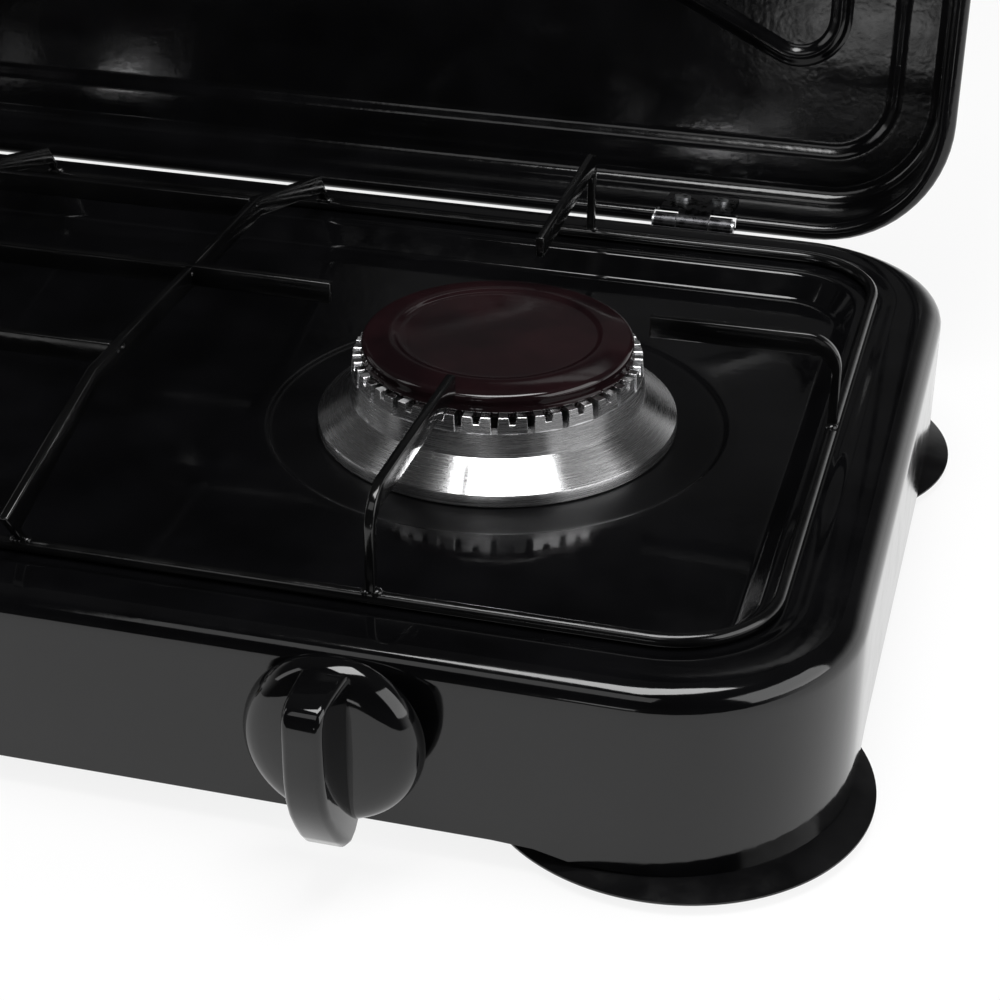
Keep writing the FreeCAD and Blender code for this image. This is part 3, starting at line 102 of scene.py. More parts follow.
turn, tilt, roll = math.radians(14.92), math.radians(29.56), math.radians(0.38)
forward = Vector((-math.sin(turn) * math.cos(tilt), math.cos(turn) * math.cos(tilt), -math.sin(tilt)))
level_right = Vector((math.cos(turn), math.sin(turn), 0))
level_up = level_right.cross(forward)
right = math.cos(roll) * level_right + math.sin(roll) * level_up
up = math.cos(roll) * level_up - math.sin(roll) * level_right
looking = Matrix((right, up, -forward)).transposed().to_4x4()
place = Vector((0.1458 + BURNER_X, -0.5438 + MIDDLE_Y, 0.2929 + 0.046))
camera.matrix_world = Matrix.Translation(place) @ looking
camera_data.clip_start = 0.01

# %% [markdown]
# Black enamel is almost all reflection, so the light is built from shapes that mirror well: a white
# table, a bright soft box overhead, weaker ones to the right, the left and the front, and a low card
# in front, for the cones of the burner heads. The room is white to the camera. In mirrors it is
# bright only low down behind the stove, which keeps the hob and the lid as deep as the real ones.


# %% Small helpers for shader trees
def new_material(name):
    material = bpy.data.materials.new(name)
    material.use_nodes = True
    tree = material.node_tree
    tree.nodes.clear()
    return material, tree


def add_node(tree, kind, **settings):
    node = tree.nodes.new(kind)
    for key, value in settings.items():
        if isinstance(value, (int, float, str, bool)) and hasattr(node, key):
            setattr(node, key, value)
        else:
            node.inputs[key].default_value = value
    return node


def link(tree, from_node, from_socket, to_node, to_socket):
    tree.links.new(from_node.outputs[from_socket], to_node.inputs[to_socket])


def arithmetic(tree, operation, one, two):
    """A math node, where each operand is a number or a pair of node and socket."""
    node = add_node(tree, "ShaderNodeMath", operation=operation)
    for place, operand in enumerate((one, two)):
        if isinstance(operand, tuple):
            link(tree, operand[0], operand[1], node, place)
        else:
            node.inputs[place].default_value = operand
    return node


def soft_range(tree, source, socket, spread, levels):
    """A smooth step from the first level to the second over a spread of the incoming value."""
    step = add_node(tree, "ShaderNodeMapRange", interpolation_type="SMOOTHSTEP")
    step.inputs["From Min"].default_value = spread[0]
    step.inputs["From Max"].default_value = spread[1]
    step.inputs["To Min"].default_value = levels[0]
    step.inputs["To Max"].default_value = levels[1]
    link(tree, source, socket, step, "Value")
    return step


# %% Table, room and soft boxes
def shown_rays(tree):
    """1 for rays from the camera and for mirror and glass rays, otherwise 0."""
    path = add_node(tree, "ShaderNodeLightPath")
    first = arithmetic(tree, "MAXIMUM", (path, "Is Camera Ray"), (path, "Is Glossy Ray"))
    return arithmetic(tree, "MAXIMUM", (first, 0), (path, "Is Transmission Ray"))


TABLE_GLOW = 0.86
TABLE_HALF = 1.6
TABLE_DROP = 0.0004
SCATTERED_LIGHT = 0.35


def table_material():
    material, tree = new_material("white_table")
    paint = add_node(tree, "ShaderNodeBsdfDiffuse", Color=(0.9, 0.9, 0.9, 1))
    glow = add_node(tree, "ShaderNodeEmission", Color=(1, 1, 1, 1), Strength=1.0)
    mix = add_node(tree, "ShaderNodeMixShader")
    share = arithmetic(tree, "MULTIPLY", (shown_rays(tree), 0), TABLE_GLOW)
    link(tree, share, 0, mix, 0)
    link(tree, paint, 0, mix, 1)
    link(tree, glow, 0, mix, 2)
    out = add_node(tree, "ShaderNodeOutputMaterial")
    link(tree, mix, 0, out, 0)
    return material


table_mesh = bpy.data.meshes.new("table")
table_front = MIDDLE_Y - 0.42
corners = [(-TABLE_HALF, table_front), (TABLE_HALF, table_front), (TABLE_HALF, TABLE_HALF),
           (-TABLE_HALF, TABLE_HALF)]
table_mesh.from_pydata([(x, y, -TABLE_DROP) for x, y in corners], [], [(0, 1, 2, 3)])
table = add_object("table", table_mesh)
table_mesh.materials.append(table_material())
table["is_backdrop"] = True


def studio_world():
    """White to the camera, and in mirrors bright only low down behind the stove."""
    world = bpy.data.worlds.new("studio")
    world.use_nodes = True
    tree = world.node_tree
    tree.nodes.clear()
    direction = add_node(tree, "ShaderNodeTexCoord")
    parts = add_node(tree, "ShaderNodeSeparateXYZ")
    link(tree, direction, "Generated", parts, 0)
    height = soft_range(tree, parts, "Z", (0.02, 0.45), (1.0, 0.03))
    behind = soft_range(tree, parts, "Y", (-0.55, 0.15), (0.02, 1.0))
    room = arithmetic(tree, "MULTIPLY", (height, 0), (behind, 0))
    path = add_node(tree, "ShaderNodeLightPath")
    mirrored = arithmetic(tree, "MAXIMUM", (path, "Is Glossy Ray"), (path, "Is Transmission Ray"))
    mirrored_room = arithmetic(tree, "MULTIPLY", (mirrored, 0), (room, 0))
    seen = arithmetic(tree, "MAXIMUM", (path, "Is Camera Ray"), (mirrored_room, 0))
    scattered = arithmetic(tree, "MULTIPLY", (path, "Is Diffuse Ray"), SCATTERED_LIGHT)
    brightness = arithmetic(tree, "MAXIMUM", (seen, 0), (scattered, 0))
    background = add_node(tree, "ShaderNodeBackground", Color=(1, 1, 1, 1))
    link(tree, brightness, 0, background, "Strength")
    out = add_node(tree, "ShaderNodeOutputWorld")
    link(tree, background, 0, out, 0)
    return world


scene.world = studio_world()
LIT_PLACE = Vector((0.10, MIDDLE_Y - 0.05, 0.05))


def soft_box(name, towards, distance, size_x, size_y, radiance):
    """A soft box at a distance from the lit place, facing it, with its brightness as it mirrors."""
    lamp = bpy.data.lights.new(name, "AREA")
    lamp.shape = "RECTANGLE"
    lamp.size, lamp.size_y = size_x, size_y
    lamp.energy = radiance * math.pi * size_x * size_y
    holder = add_object(name, lamp)
    aim = Vector(towards).normalized()
    holder.location = LIT_PLACE + aim * distance
    holder.rotation_euler = aim.to_track_quat("Z", "Y").to_euler()


soft_box("top_soft_box", (0.10, -0.08, 0.97), 0.9, 0.60, 0.34, 10.0)
soft_box("side_soft_box", (0.90, -0.15, 0.45), 1.0, 0.85, 0.62, 2.6)
soft_box("front_soft_box", (-0.12, -0.72, 0.78), 1.07, 0.6, 0.34, 1.1)
soft_box("left_soft_box", (-0.85, -0.30, 0.55), 1.1, 0.22, 0.55, 1.6)
soft_box("low_front_card", (0.02, -0.764, -0.02), 0.765, 0.12, 0.05, 2.4)
view = scene.view_settings
view.view_transform = "Standard"


# %% [markdown]
# Enamel, baked onto pressed steel, is a thin glass. It is nearly black, mirrors sharply, and has a
# slight orange peel that only shows where a bright edge is mirrored. The ripple is a bump, because
# its height is far too small to model.


# %% Finishes
def principled(tree, **settings):
    shader = tree.nodes.new("ShaderNodeBsdfPrincipled")
    for key, value in settings.items():
        shader.inputs[key.replace("_", " ")].default_value = value
    out = add_node(tree, "ShaderNodeOutputMaterial")
    link(tree, shader, 0, out, 0)
    return shader


def object_noise(tree, scale, detail=2.0, roughness=0.5, stretch=(1, 1, 1)):
    where = add_node(tree, "ShaderNodeTexCoord")
    mapping = add_node(tree, "ShaderNodeMapping")
    mapping.inputs["Scale"].default_value = stretch
    link(tree, where, "Object", mapping, 0)
    noise = add_node(tree, "ShaderNodeTexNoise", Scale=scale, Detail=detail, Roughness=roughness)
    link(tree, mapping, 0, noise, "Vector")
    return noise


def add_range(tree, source, socket, low, high, target, target_socket, start=0.35, end=0.65):
    spread = add_node(tree, "ShaderNodeMapRange")
    spread.inputs["From Min"].default_value = start
    spread.inputs["From Max"].default_value = end
    spread.inputs["To Min"].default_value = low
    spread.inputs["To Max"].default_value = high
    link(tree, source, socket, spread, "Value")
    link(tree, spread, 0, target, target_socket)
    return spread


def add_bump(tree, source, shader, strength, distance, socket=0):
    bump = add_node(tree, "ShaderNodeBump", Strength=strength, Distance=distance)
    link(tree, source, socket, bump, "Height")
    link(tree, bump, 0, shader, "Normal")
    return bump


def tint(tree, source, socket, shader, dark, light, start=0.35, end=0.65):
    ramp = add_node(tree, "ShaderNodeValToRGB")
    ramp.color_ramp.elements[0].position = start
    ramp.color_ramp.elements[1].position = end
    ramp.color_ramp.elements[0].color = (*dark, 1)
    ramp.color_ramp.elements[1].color = (*light, 1)
    link(tree, source, socket, ramp, 0)
    link(tree, ramp, 0, shader, "Base Color")


PATCH_EDGE = (0.060, 0.072)
PATCH_ROUGHNESS = 0.34


def heat_patch(tree, across, worn):
    """Roughness that rises in a round patch about the burner at this place, over what was there."""
    where = add_node(tree, "ShaderNodeTexCoord")
    flat = add_node(tree, "ShaderNodeVectorMath", operation="MULTIPLY")
    flat.inputs[1].default_value = (1, 1, 0)
    away = add_node(tree, "ShaderNodeVectorMath", operation="DISTANCE")
    away.inputs[1].default_value = (across, MIDDLE_Y, 0)
    link(tree, where, "Object", flat, 0)
    link(tree, flat, 0, away, 0)
    dull = soft_range(tree, away, "Value", PATCH_EDGE, (PATCH_ROUGHNESS, 0.0))
    return arithmetic(tree, "MAXIMUM", (dull, 0), (worn, 0))


def enamel(name, dark, light, peel=0.12, low=0.05, high=0.11, burners=()):
    """Glossy enamel; about each burner that is given, heat has made it duller and less of a mirror."""
    material, tree = new_material(name)
    shader = principled(tree, Roughness=0.07, IOR=1.5)
    cloud = object_noise(tree, 38.0, 3.0)
    tint(tree, cloud, 0, shader, dark, light)
    haze = object_noise(tree, 90.0, 4.0, 0.6)
    worn = add_range(tree, haze, 0, low, high, shader, "Roughness")
    ripple = object_noise(tree, 420.0, 1.0)
    add_bump(tree, ripple, shader, peel, 0.00008)
    for across in burners:
        worn = heat_patch(tree, across, worn)
    if burners:
        link(tree, worn, 0, shader, "Roughness")
        add_range(tree, worn, 0, 0.5, 0.12, shader, "Specular IOR Level", 0.12, PATCH_ROUGHNESS)
    return material


BLACK_GLASS = ((0.0016, 0.0016, 0.0018), (0.0030, 0.0030, 0.0034))
black_enamel = enamel("black_enamel", *BLACK_GLASS)
lid_enamel = enamel("lid_enamel", *BLACK_GLASS, peel=0.34, low=0.09, high=0.15)
body_enamel = enamel("body_enamel", *BLACK_GLASS, burners=(BURNER_X, -BURNER_X))
grate_enamel = enamel("grate_enamel", (0.0016, 0.0016, 0.0017), (0.0040, 0.0040, 0.0042),
                      peel=0.30, low=0.08, high=0.2)
cap_enamel = enamel("cap_enamel", (0.0060, 0.0030, 0.0036), (0.0130, 0.0052, 0.0062),
                    peel=0.08, low=0.05, high=0.12)
knob_plastic = enamel("knob_plastic", (0.0020, 0.0020, 0.0022), (0.0030, 0.0030, 0.0033),
                      peel=0.03, low=0.04, high=0.08)
foot_plastic = enamel("foot_plastic", (0.0030, 0.0030, 0.0033), (0.0060, 0.0060, 0.0064),
                      peel=0.2, low=0.12, high=0.26)


def plated(name, dark, light, low, high, scale=320.0, stretch=(1, 1, 1), bump=0.1, metallic=1.0):
    material, tree = new_material(name)
    shader = principled(tree, Metallic=metallic, IOR=1.5)
    grain = object_noise(tree, scale, 4.0, 0.6, stretch)
    tint(tree, grain, 0, shader, dark, light)
    add_range(tree, grain, 0, low, high, shader, "Roughness")
    add_bump(tree, grain, shader, bump, 0.0001)
    return material


zinc = plated("zinc_plate", (0.46, 0.47, 0.48), (0.66, 0.67, 0.68), 0.22, 0.42)
black_zinc = plated("black_zinc", (0.03, 0.03, 0.032), (0.09, 0.09, 0.095), 0.2, 0.4)
spring_wire = plated("spring_wire", (0.34, 0.34, 0.35), (0.52, 0.52, 0.53), 0.25, 0.4, 600.0)
rail_steel = plated("rail_steel", (0.42, 0.42, 0.43), (0.6, 0.6, 0.61), 0.25, 0.45, 260.0, (0.15, 1, 1))
valve_brass = plated("valve_brass", (0.58, 0.42, 0.16), (0.78, 0.60, 0.28), 0.18, 0.34)
valve_casting = plated("valve_casting", (0.42, 0.42, 0.43), (0.6, 0.6, 0.61), 0.4, 0.6, 500.0, bump=0.35)
cup_metal = plated("cup_metal", (0.48, 0.48, 0.49), (0.66, 0.66, 0.67), 0.35, 0.55, 300.0, bump=0.25)
pad_rubber = plated("pad_rubber", (0.012, 0.012, 0.012), (0.03, 0.03, 0.03), 0.6, 0.85, 700.0,
                    bump=0.4, metallic=0.0)


def turned_aluminium():
    """Aluminium turned on a lathe: fine rings along the turned map, and a glint drawn across them."""
    material, tree = new_material("turned_aluminium")
    shader = principled(tree, Metallic=1.0, IOR=1.5, Anisotropic=0.9, Anisotropic_Rotation=0.25)
    where = add_node(tree, "ShaderNodeUVMap", uv_map="turned")
    mapping = add_node(tree, "ShaderNodeMapping")
    mapping.inputs["Scale"].default_value = (45.0, 5200.0, 1.0)
    link(tree, where, 0, mapping, 0)
    rings = add_node(tree, "ShaderNodeTexNoise", Scale=1.0, Detail=3.0, Roughness=0.7)
    link(tree, mapping, 0, rings, "Vector")
    tint(tree, rings, 0, shader, (0.76, 0.76, 0.77), (0.92, 0.92, 0.93), 0.3, 0.7)
    add_range(tree, rings, 0, 0.20, 0.30, shader, "Roughness")
    add_bump(tree, rings, shader, 0.10, 0.00004)
    tangent = add_node(tree, "ShaderNodeTangent", direction_type="UV_MAP", uv_map="turned")
    link(tree, tangent, 0, shader, "Tangent")
    return material


burner_metal = turned_aluminium()


# %% [markdown]
# Most of the stove is either pressed or turned. A pressing is a family of rounded rectangles, each
# a little smaller and a little higher than the last, so one helper that joins such rings makes both
# the body and the lid. A turning is one profile carried round an axis.


# %% Helpers that make meshes
def to_mesh(name, bm):
    """Turn a bmesh into a mesh and free it."""
    mesh = bpy.data.meshes.new(name)
    bm.to_mesh(mesh)
    bm.free()
    return mesh


def finish_piece(name, bm, material, body, nodes, sharp):
    """Turn a bmesh into a smooth piece that rides on a body and stands for CAD nodes."""
    bmesh.ops.remove_doubles(bm, verts=bm.verts, dist=1e-6)
    dress(add_object(name, to_mesh(name, bm)), material, body, nodes, sharp)


def dress(piece, material, body, nodes, sharp):
    """Give a piece its finish, its smooth faces up to a sharp angle, its body and its CAD nodes."""
    mesh = piece.data
    mesh.materials.clear()
    mesh.materials.append(material)
    mesh.polygons.foreach_set("use_smooth", [True] * len(mesh.polygons))
    mesh.set_sharp_from_angle(angle=math.radians(sharp))
    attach(piece, body)
    if nodes:
        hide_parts(*nodes)
    print(piece.name, len(mesh.polygons), "faces")


def ring_points(half_x, half_y, corner, z, middle_y=0.0, steps=14, spans=(40, 16)):
    """Points of a rounded rectangle, anticlockwise from the right side, with a fixed count."""
    points = []
    quarters = ((1, 1, 0), (-1, 1, 90), (-1, -1, 180), (1, -1, 270))
    for number, (sx, sy, start) in enumerate(quarters):
        cx, cy = sx * (half_x - corner), sy * (half_y - corner)
        for step in range(steps + 1):
            angle = math.radians(start + 90 * step / steps)
            points.append((cx + corner * math.cos(angle), cy + corner * math.sin(angle)))
        nx, ny, next_start = quarters[(number + 1) % 4]
        end_angle = math.radians(next_start)
        end = (nx * (half_x - corner) + corner * math.cos(end_angle),
               ny * (half_y - corner) + corner * math.sin(end_angle))
        start_point = points[-1]
        count = spans[number % 2]
        for step in range(1, count):
            share = step / count
            points.append((start_point[0] + (end[0] - start_point[0]) * share,
                           start_point[1] + (end[1] - start_point[1]) * share))
    return [(x, y + middle_y, z) for x, y in points]


def join_rings(bm, rings):
    """Quads between neighbouring rings of points that have the same count."""
    rows = [[bm.verts.new([c * MM for c in point]) for point in ring] for ring in rings]
    count = len(rows[0])
    for low, high in zip(rows, rows[1:]):
        for number in range(count):
            following = (number + 1) % count
            bm.faces.new((low[number], low[following], high[following], high[number]))
    return rows


def closed_edges(bm, row):
    """The edges between neighbouring vertices of a closed row."""
    return [bm.edges.get((row[n], row[(n + 1) % len(row)])) for n in range(len(row))]


def close_prism(bm, one, two):
    """Faces over two rows of vertices with the same outline and between them, facing outwards."""
    faces = [bm.faces.new(one), bm.faces.new(two)]
    for number in range(len(one)):
        following = (number + 1) % len(one)
        faces.append(bm.faces.new((one[number], one[following], two[following], two[number])))
    bmesh.ops.recalc_face_normals(bm, faces=faces)


def arc(centre, radius, start, end, steps):
    """Points on an arc in a profile, with angles in degrees."""
    found = []
    for step in range(steps + 1):
        angle = math.radians(start + (end - start) * step / steps)
        found.append((centre[0] + radius * math.cos(angle), centre[1] + radius * math.sin(angle)))
    return found


def ease(start, end, steps=8):
    """Points of a soft step between two points of a profile."""
    found = []
    for step in range(steps + 1):
        share = step / steps
        soft = share * share * (3 - 2 * share)
        found.append((start[0] + (end[0] - start[0]) * share, start[1] + (end[1] - start[1]) * soft))
    return found


def lathe(bm, profile, count, centre, axis="Z"):
    """Carry a profile of radius and height round an axis, with a map of arc and profile length.

    Round Z the heights count upwards, and round Y they count towards the front.
    """
    layer = bm.loops.layers.uv.get("turned") or bm.loops.layers.uv.new("turned")
    lengths = [0.0]
    for one, two in zip(profile, profile[1:]):
        lengths.append(lengths[-1] + math.dist(one, two))
    rows = []
    for radius, height in profile:
        row = []
        for number in range(count):
            angle = 2 * math.pi * number / count
            first, second = radius * math.cos(angle), radius * math.sin(angle)
            if axis == "Z":
                spot = (centre[0] + first, centre[1] + second, height)
            else:
                spot = (centre[0] + first, -height, centre[2] + second)
            row.append(bm.verts.new([c * MM for c in spot]))
            if radius < 1e-6:
                row = row * count
                break
        rows.append(row)
    for level in range(len(rows) - 1):
        reach = max(profile[level][0], profile[level + 1][0])
        for number in range(count):
            following = (number + 1) % count
            corners = [(rows[level][number], number, level), (rows[level][following], number + 1, level),
                       (rows[level + 1][following], number + 1, level + 1),
                       (rows[level + 1][number], number, level + 1)]
            used = []
            for corner in corners:
                if all(corner[0] is not other[0] for other in used):
                    used.append(corner)
            face = bm.faces.new([corner[0] for corner in used])
            for loop, corner in zip(face.loops, used):
                angle = 2 * math.pi * corner[1] / count
                loop[layer].uv = (angle * reach * MM, lengths[corner[2]] * MM)
    return rows


# %% [markdown]
# The body is one sheet. From the lower edge the sheet goes up the side, round the rim, down a small
# step to the ledge that the wire frame stands on, and down again to the hob. The lower edge dips at
# the corners, where the feet are. The skin is drawn once and Solidify gives it the thickness of the
# sheet; the holes are then drilled through it with one cutter.

# %% Body pressing
HALF_X, HALF_Y, CORNER = 250.0, 133.5, 48.0
WELL_X, WELL_Y, WELL_CORNER = 233.2, 117.4, 31.2
RIM, HOB, DISH = 54.4, 46.0, 45.2
LEDGE = RIM - 1.0
SHEET = 1.0
HOB_SHIFT = 1.5
HOB_BACK_MARGIN = 4.0
MID = MIDDLE_Y / MM
BODY_MID = MID - HOB_SHIFT
BURNER = BURNER_X / MM
SKIRT_LIFT, SKIRT_DIP = 7.7, 2.9
SKIRT_SLOPE = 10.0
FOOT_FROM_X, FOOT_FROM_Y = 180.0, 63.5
KNOB_LEVEL = 35.3
HINGE_PLACE = 165.5
CUP_SCREW_CIRCLE = 40.6
DRILL_LENGTH = 12.0


def body_ring(inset, z):
    return ring_points(HALF_X - inset, HALF_Y - inset, CORNER - inset, z, BODY_MID)


def well_ring(inset, z, margin=0.0):
    """A ring measured inwards from the edge of the sunken well, with some more margin at the back."""
    half_y = WELL_Y - inset - margin / 2
    return ring_points(WELL_X - inset, half_y, WELL_CORNER - inset, z, MID - margin / 2)


def lower_edge(ring):
    """Lift the lower edge between the feet, with a short slope at each foot."""
    lifted = []
    for x, y, z in ring:
        depth = abs(y - BODY_MID)
        along = max(abs(x) - FOOT_FROM_X if depth > HALF_Y - 2 else depth - FOOT_FROM_Y, 0.0)
        if depth <= HALF_Y - 2 and abs(x) < HALF_X - 2:
            along = SKIRT_SLOPE
        share = min(along / SKIRT_SLOPE, 1.0)
        lifted.append((x, y, SKIRT_LIFT - SKIRT_DIP * share))
    return lifted


def make_body_pressing():
    bm = bmesh.new()
    rings = [lower_edge(body_ring(0, 0)), body_ring(0, 9.5), body_ring(0, 30.0), body_ring(0, 46.0)]
    rings += [body_ring(inset, z) for inset, z in arc((6.0, 48.4), 6.0, 180, 90, 10)]
    rings.append(body_ring(9.0, RIM))
    ledge = ease((-3.2, RIM), (1.2, LEDGE), 8) + [(2.2, LEDGE), (7.2, LEDGE)]
    rings += [well_ring(inset, z) for inset, z in ledge]
    wall = arc((7.6, RIM - 3.4), 2.4, 90, 38, 6) + arc((15.6, HOB + 3.0), 3.0, 218, 270, 6)
    wall += [(17.5, HOB), (19.5, HOB)]
    rings += [well_ring(inset, z, HOB_BACK_MARGIN) for inset, z in wall]
    loops = closed_edges(bm, join_rings(bm, rings)[-1])
    dish = [(65.4, HOB), (64.6, HOB)] + ease((64.4, HOB), (62.6, DISH), 5)
    dish += [(62.0, DISH), (20.0, DISH), (0.0, DISH)]
    for side in (1, -1):
        loops += closed_edges(bm, lathe(bm, dish, 96, (BURNER * side, MID))[0])
    bmesh.ops.triangle_fill(bm, use_beauty=True, edges=loops)
    bmesh.ops.remove_doubles(bm, verts=bm.verts, dist=1e-6)
    bmesh.ops.recalc_face_normals(bm, faces=bm.faces)
    mesh = to_mesh("body_pressing", bm)
    top = max(mesh.polygons, key=lambda face: face.center.z * (face.normal.z ** 2))
    if top.normal.z < 0:
        mesh.flip_normals()
    return add_object("body_pressing", mesh)


def drill(name, holes):
    """One cutter object made of closed cylinders, each with its centre, direction and radius."""
    bm = bmesh.new()
    for centre, towards, radius in holes:
        quat = Vector(towards).to_track_quat("Z", "Y").to_matrix().to_4x4()
        matrix = Matrix.Translation(Vector(centre) * MM) @ quat
        bmesh.ops.create_cone(bm, cap_ends=True, segments=48, radius1=radius * MM, radius2=radius * MM,
                              depth=DRILL_LENGTH * MM, matrix=matrix)
    return add_object(name, to_mesh(name, bm))


def bake(piece):
    """Replace a piece's mesh with what its modifiers make, and take the modifiers off."""
    graph = bpy.context.evaluated_depsgraph_get()
    baked = bpy.data.meshes.new_from_object(piece.evaluated_get(graph))
    piece.modifiers.clear()
    piece.data = baked
    return piece


def cut_with(piece, cutter):
    """Take a cutter's volume out of a piece, and remove the cutter."""
    carve = piece.modifiers.new("drilled", "BOOLEAN")
    carve.operation = "DIFFERENCE"
    carve.solver = "EXACT"
    carve.object = cutter
    bake(piece)
    bpy.data.objects.remove(cutter)


body_piece = make_body_pressing()
skin = body_piece.modifiers.new("sheet", "SOLIDIFY")
skin.thickness = SHEET * MM
skin.offset = -1
skin.use_even_offset = True
bake(body_piece)
nozzle_low, nozzle_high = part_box("inlet_nut")
nozzle = ((nozzle_low + nozzle_high) / 2) / MM
FRONT, BACK = BODY_MID - HALF_Y, BODY_MID + HALF_Y
ALONG_Y, ALONG_Z = (0, 1, 0), (0, 0, 1)
body_holes = [((nozzle.x, BACK, nozzle.z), ALONG_Y, 5.1)]
for side in (1, -1):
    body_holes.append(((BURNER * side, MID, DISH), ALONG_Z, 36.5))
    body_holes.append(((BURNER * side, FRONT, KNOB_LEVEL), ALONG_Y, 6.6))
    for direction in (1, -1):
        panel_screw = (BURNER * side + 10.5 * direction, FRONT, KNOB_LEVEL + 3.7 * direction)
        body_holes.append((panel_screw, ALONG_Y, 1.6))
        body_holes.append(((HINGE_PLACE * side + 6.25 * direction, BACK, 41.0), ALONG_Y, 1.7))
    for number in range(3):
        angle = math.radians(90 + 120 * number)
        cup_screw = (BURNER * side + CUP_SCREW_CIRCLE * math.cos(angle),
                     MID + CUP_SCREW_CIRCLE * math.sin(angle), DISH)
        body_holes.append((cup_screw, ALONG_Z, 1.6))
cut_with(body_piece, drill("body_drill", body_holes))


def add_corner_webs(piece):
    """The flat webs inside the corners that the feet are screwed to."""
    web_x, web_y, web_front, web_side, web_corner = 196.3, 79.8, 132.9, 249.4, 47.5
    web_low, web_high = 4.85, 6.0
    round_x, round_y = HALF_X - CORNER, HALF_Y - CORNER
    spots = [(web_x, web_front)] + arc((round_x, round_y), web_corner, 90, 0, 9)
    spots += [(web_side, web_y), (web_x, web_y)]
    bm = bmesh.new()
    bm.from_mesh(piece.data)
    for sx in (1, -1):
        for sy in (1, -1):
            placed = [(x * sx * MM, (BODY_MID + y * sy) * MM) for x, y in spots]
            low = [bm.verts.new((x, y, web_low * MM)) for x, y in placed]
            high = [bm.verts.new((x, y, web_high * MM)) for x, y in placed]
            close_prism(bm, low, high)
    bm.to_mesh(piece.data)
    bm.free()


add_corner_webs(body_piece)
dress(body_piece, body_enamel, "stove_base", ["body_shell"], 30.0)

# %% [markdown]
# The lid is a deeper pressing with a rolled hem, a soft step round its flat panel and a pressed bead
# in the form of a rounded triangle at each end. It is drawn closed, about its hinge, and then swung
# open by the same angle that the hinge joint gives.

# %% Lid pressing
LID_X, LID_Y, LID_CORNER = 244.8, 133.25, 41.0
LID_MIDDLE = -131.25
LID_STEP, LID_PANEL = 31.4, 33.4
lid_open = Matrix.Translation((0, HINGE_Y, HINGE_Z)) @ Matrix.Rotation(-LID_LEAN, 4, "X")


def lid_ring(inset, z):
    return ring_points(LID_X - inset, LID_Y - inset, LID_CORNER - inset, z, LID_MIDDLE, 16, (26, 14))


def make_lid():
    profile = [(27.0, LID_PANEL), (25.2, LID_PANEL)]
    profile += ease((24.2, LID_PANEL), (19.6, LID_STEP), 8) + [(18.4, LID_STEP), (10.6, LID_STEP)]
    profile += arc((10.3, 26.4), 5.0, 90, 180, 8)
    profile += [(5.3, 14.0), (5.3, 7.0)] + arc((2.65, 4.6), 2.65, 0, -180, 12)
    profile += arc((2.65, 4.6), 1.65, -180, 0, 10) + [(4.3, 7.0), (4.3, 16.0), (4.3, 26.4)]
    profile += arc((10.3, 26.4), 6.0, 180, 90, 8)
    outer_step, outer_panel = LID_STEP + SHEET, LID_PANEL + SHEET
    profile += [(18.4, outer_step)] + ease((19.6, outer_step), (24.2, outer_panel), 8)
    profile += [(25.2, outer_panel), (27.0, outer_panel)]
    bm = bmesh.new()
    rows = join_rings(bm, [lid_ring(inset, z) for inset, z in profile])
    for row in (rows[0], rows[-1]):
        bmesh.ops.triangle_fill(bm, use_beauty=True, edges=closed_edges(bm, row))
    bmesh.ops.recalc_face_normals(bm, faces=bm.faces)
    return add_object("lid_pressing", to_mesh("lid_pressing", bm))


def hinge_notches():
    """A cutter for the two notches in the hem that the hinges stand in."""
    bm = bmesh.new()
    size = Matrix.Diagonal((27.0 * MM, 7.3 * MM, 4.6 * MM, 1))
    for side in (1, -1):
        middle = Vector((HINGE_PLACE * side, -0.65, 2.0)) * MM
        bmesh.ops.create_cube(bm, size=1.0, matrix=Matrix.Translation(middle) @ size)
    return add_object("lid_notch", to_mesh("lid_notch", bm))


lid_piece = make_lid()
cut_with(lid_piece, hinge_notches())
lid_piece.data.transform(lid_open)
dress(lid_piece, lid_enamel, "lid", ["lid_shell"], 30.0)


# %% [markdown]
# The bead follows a rule, a round ridge along a triangle with large corner radii, so Geometry Nodes
# make it: a line with rounded corners, and a profile swept along it. The profile's ends are flat,
# so that the ridge runs into the panel with no seam.


# %% Small helpers for Geometry Nodes
def geometry_tree(name, inputs):
    """A geometry tree with named inputs; gives the tree, its input node and its output node."""
    tree = bpy.data.node_groups.new(name, "GeometryNodeTree")
    tree.interface.new_socket("Geometry", in_out="INPUT", socket_type="NodeSocketGeometry")
    for label, kind, value in inputs:
        socket = tree.interface.new_socket(label, in_out="INPUT", socket_type=kind)
        if value is not None:
            socket.default_value = value
    tree.interface.new_socket("Geometry", in_out="OUTPUT", socket_type="NodeSocketGeometry")
    return tree, tree.nodes.new("NodeGroupInput"), tree.nodes.new("NodeGroupOutput")


def end_tree(tree, node, socket, out, material):
    """Every tree ends with its instances made real and its finish set."""
    real = tree.nodes.new("GeometryNodeRealizeInstances")
    finish = tree.nodes.new("GeometryNodeSetMaterial")
    finish.inputs["Material"].default_value = material
    link(tree, node, socket, real, 0)
    link(tree, real, 0, finish, 0)
    link(tree, finish, 0, out, 0)


def run_tree(name, tree, source, values):
    """Run a geometry tree on a mesh and give the plain mesh object that it makes."""
    piece = add_object(name, source)
    modifier = piece.modifiers.new("made", "NODES")
    modifier.node_group = tree
    for item in tree.interface.items_tree:
        if item.in_out == "INPUT" and item.name in values:
            modifier[item.identifier] = values[item.name]
    return bake(piece)


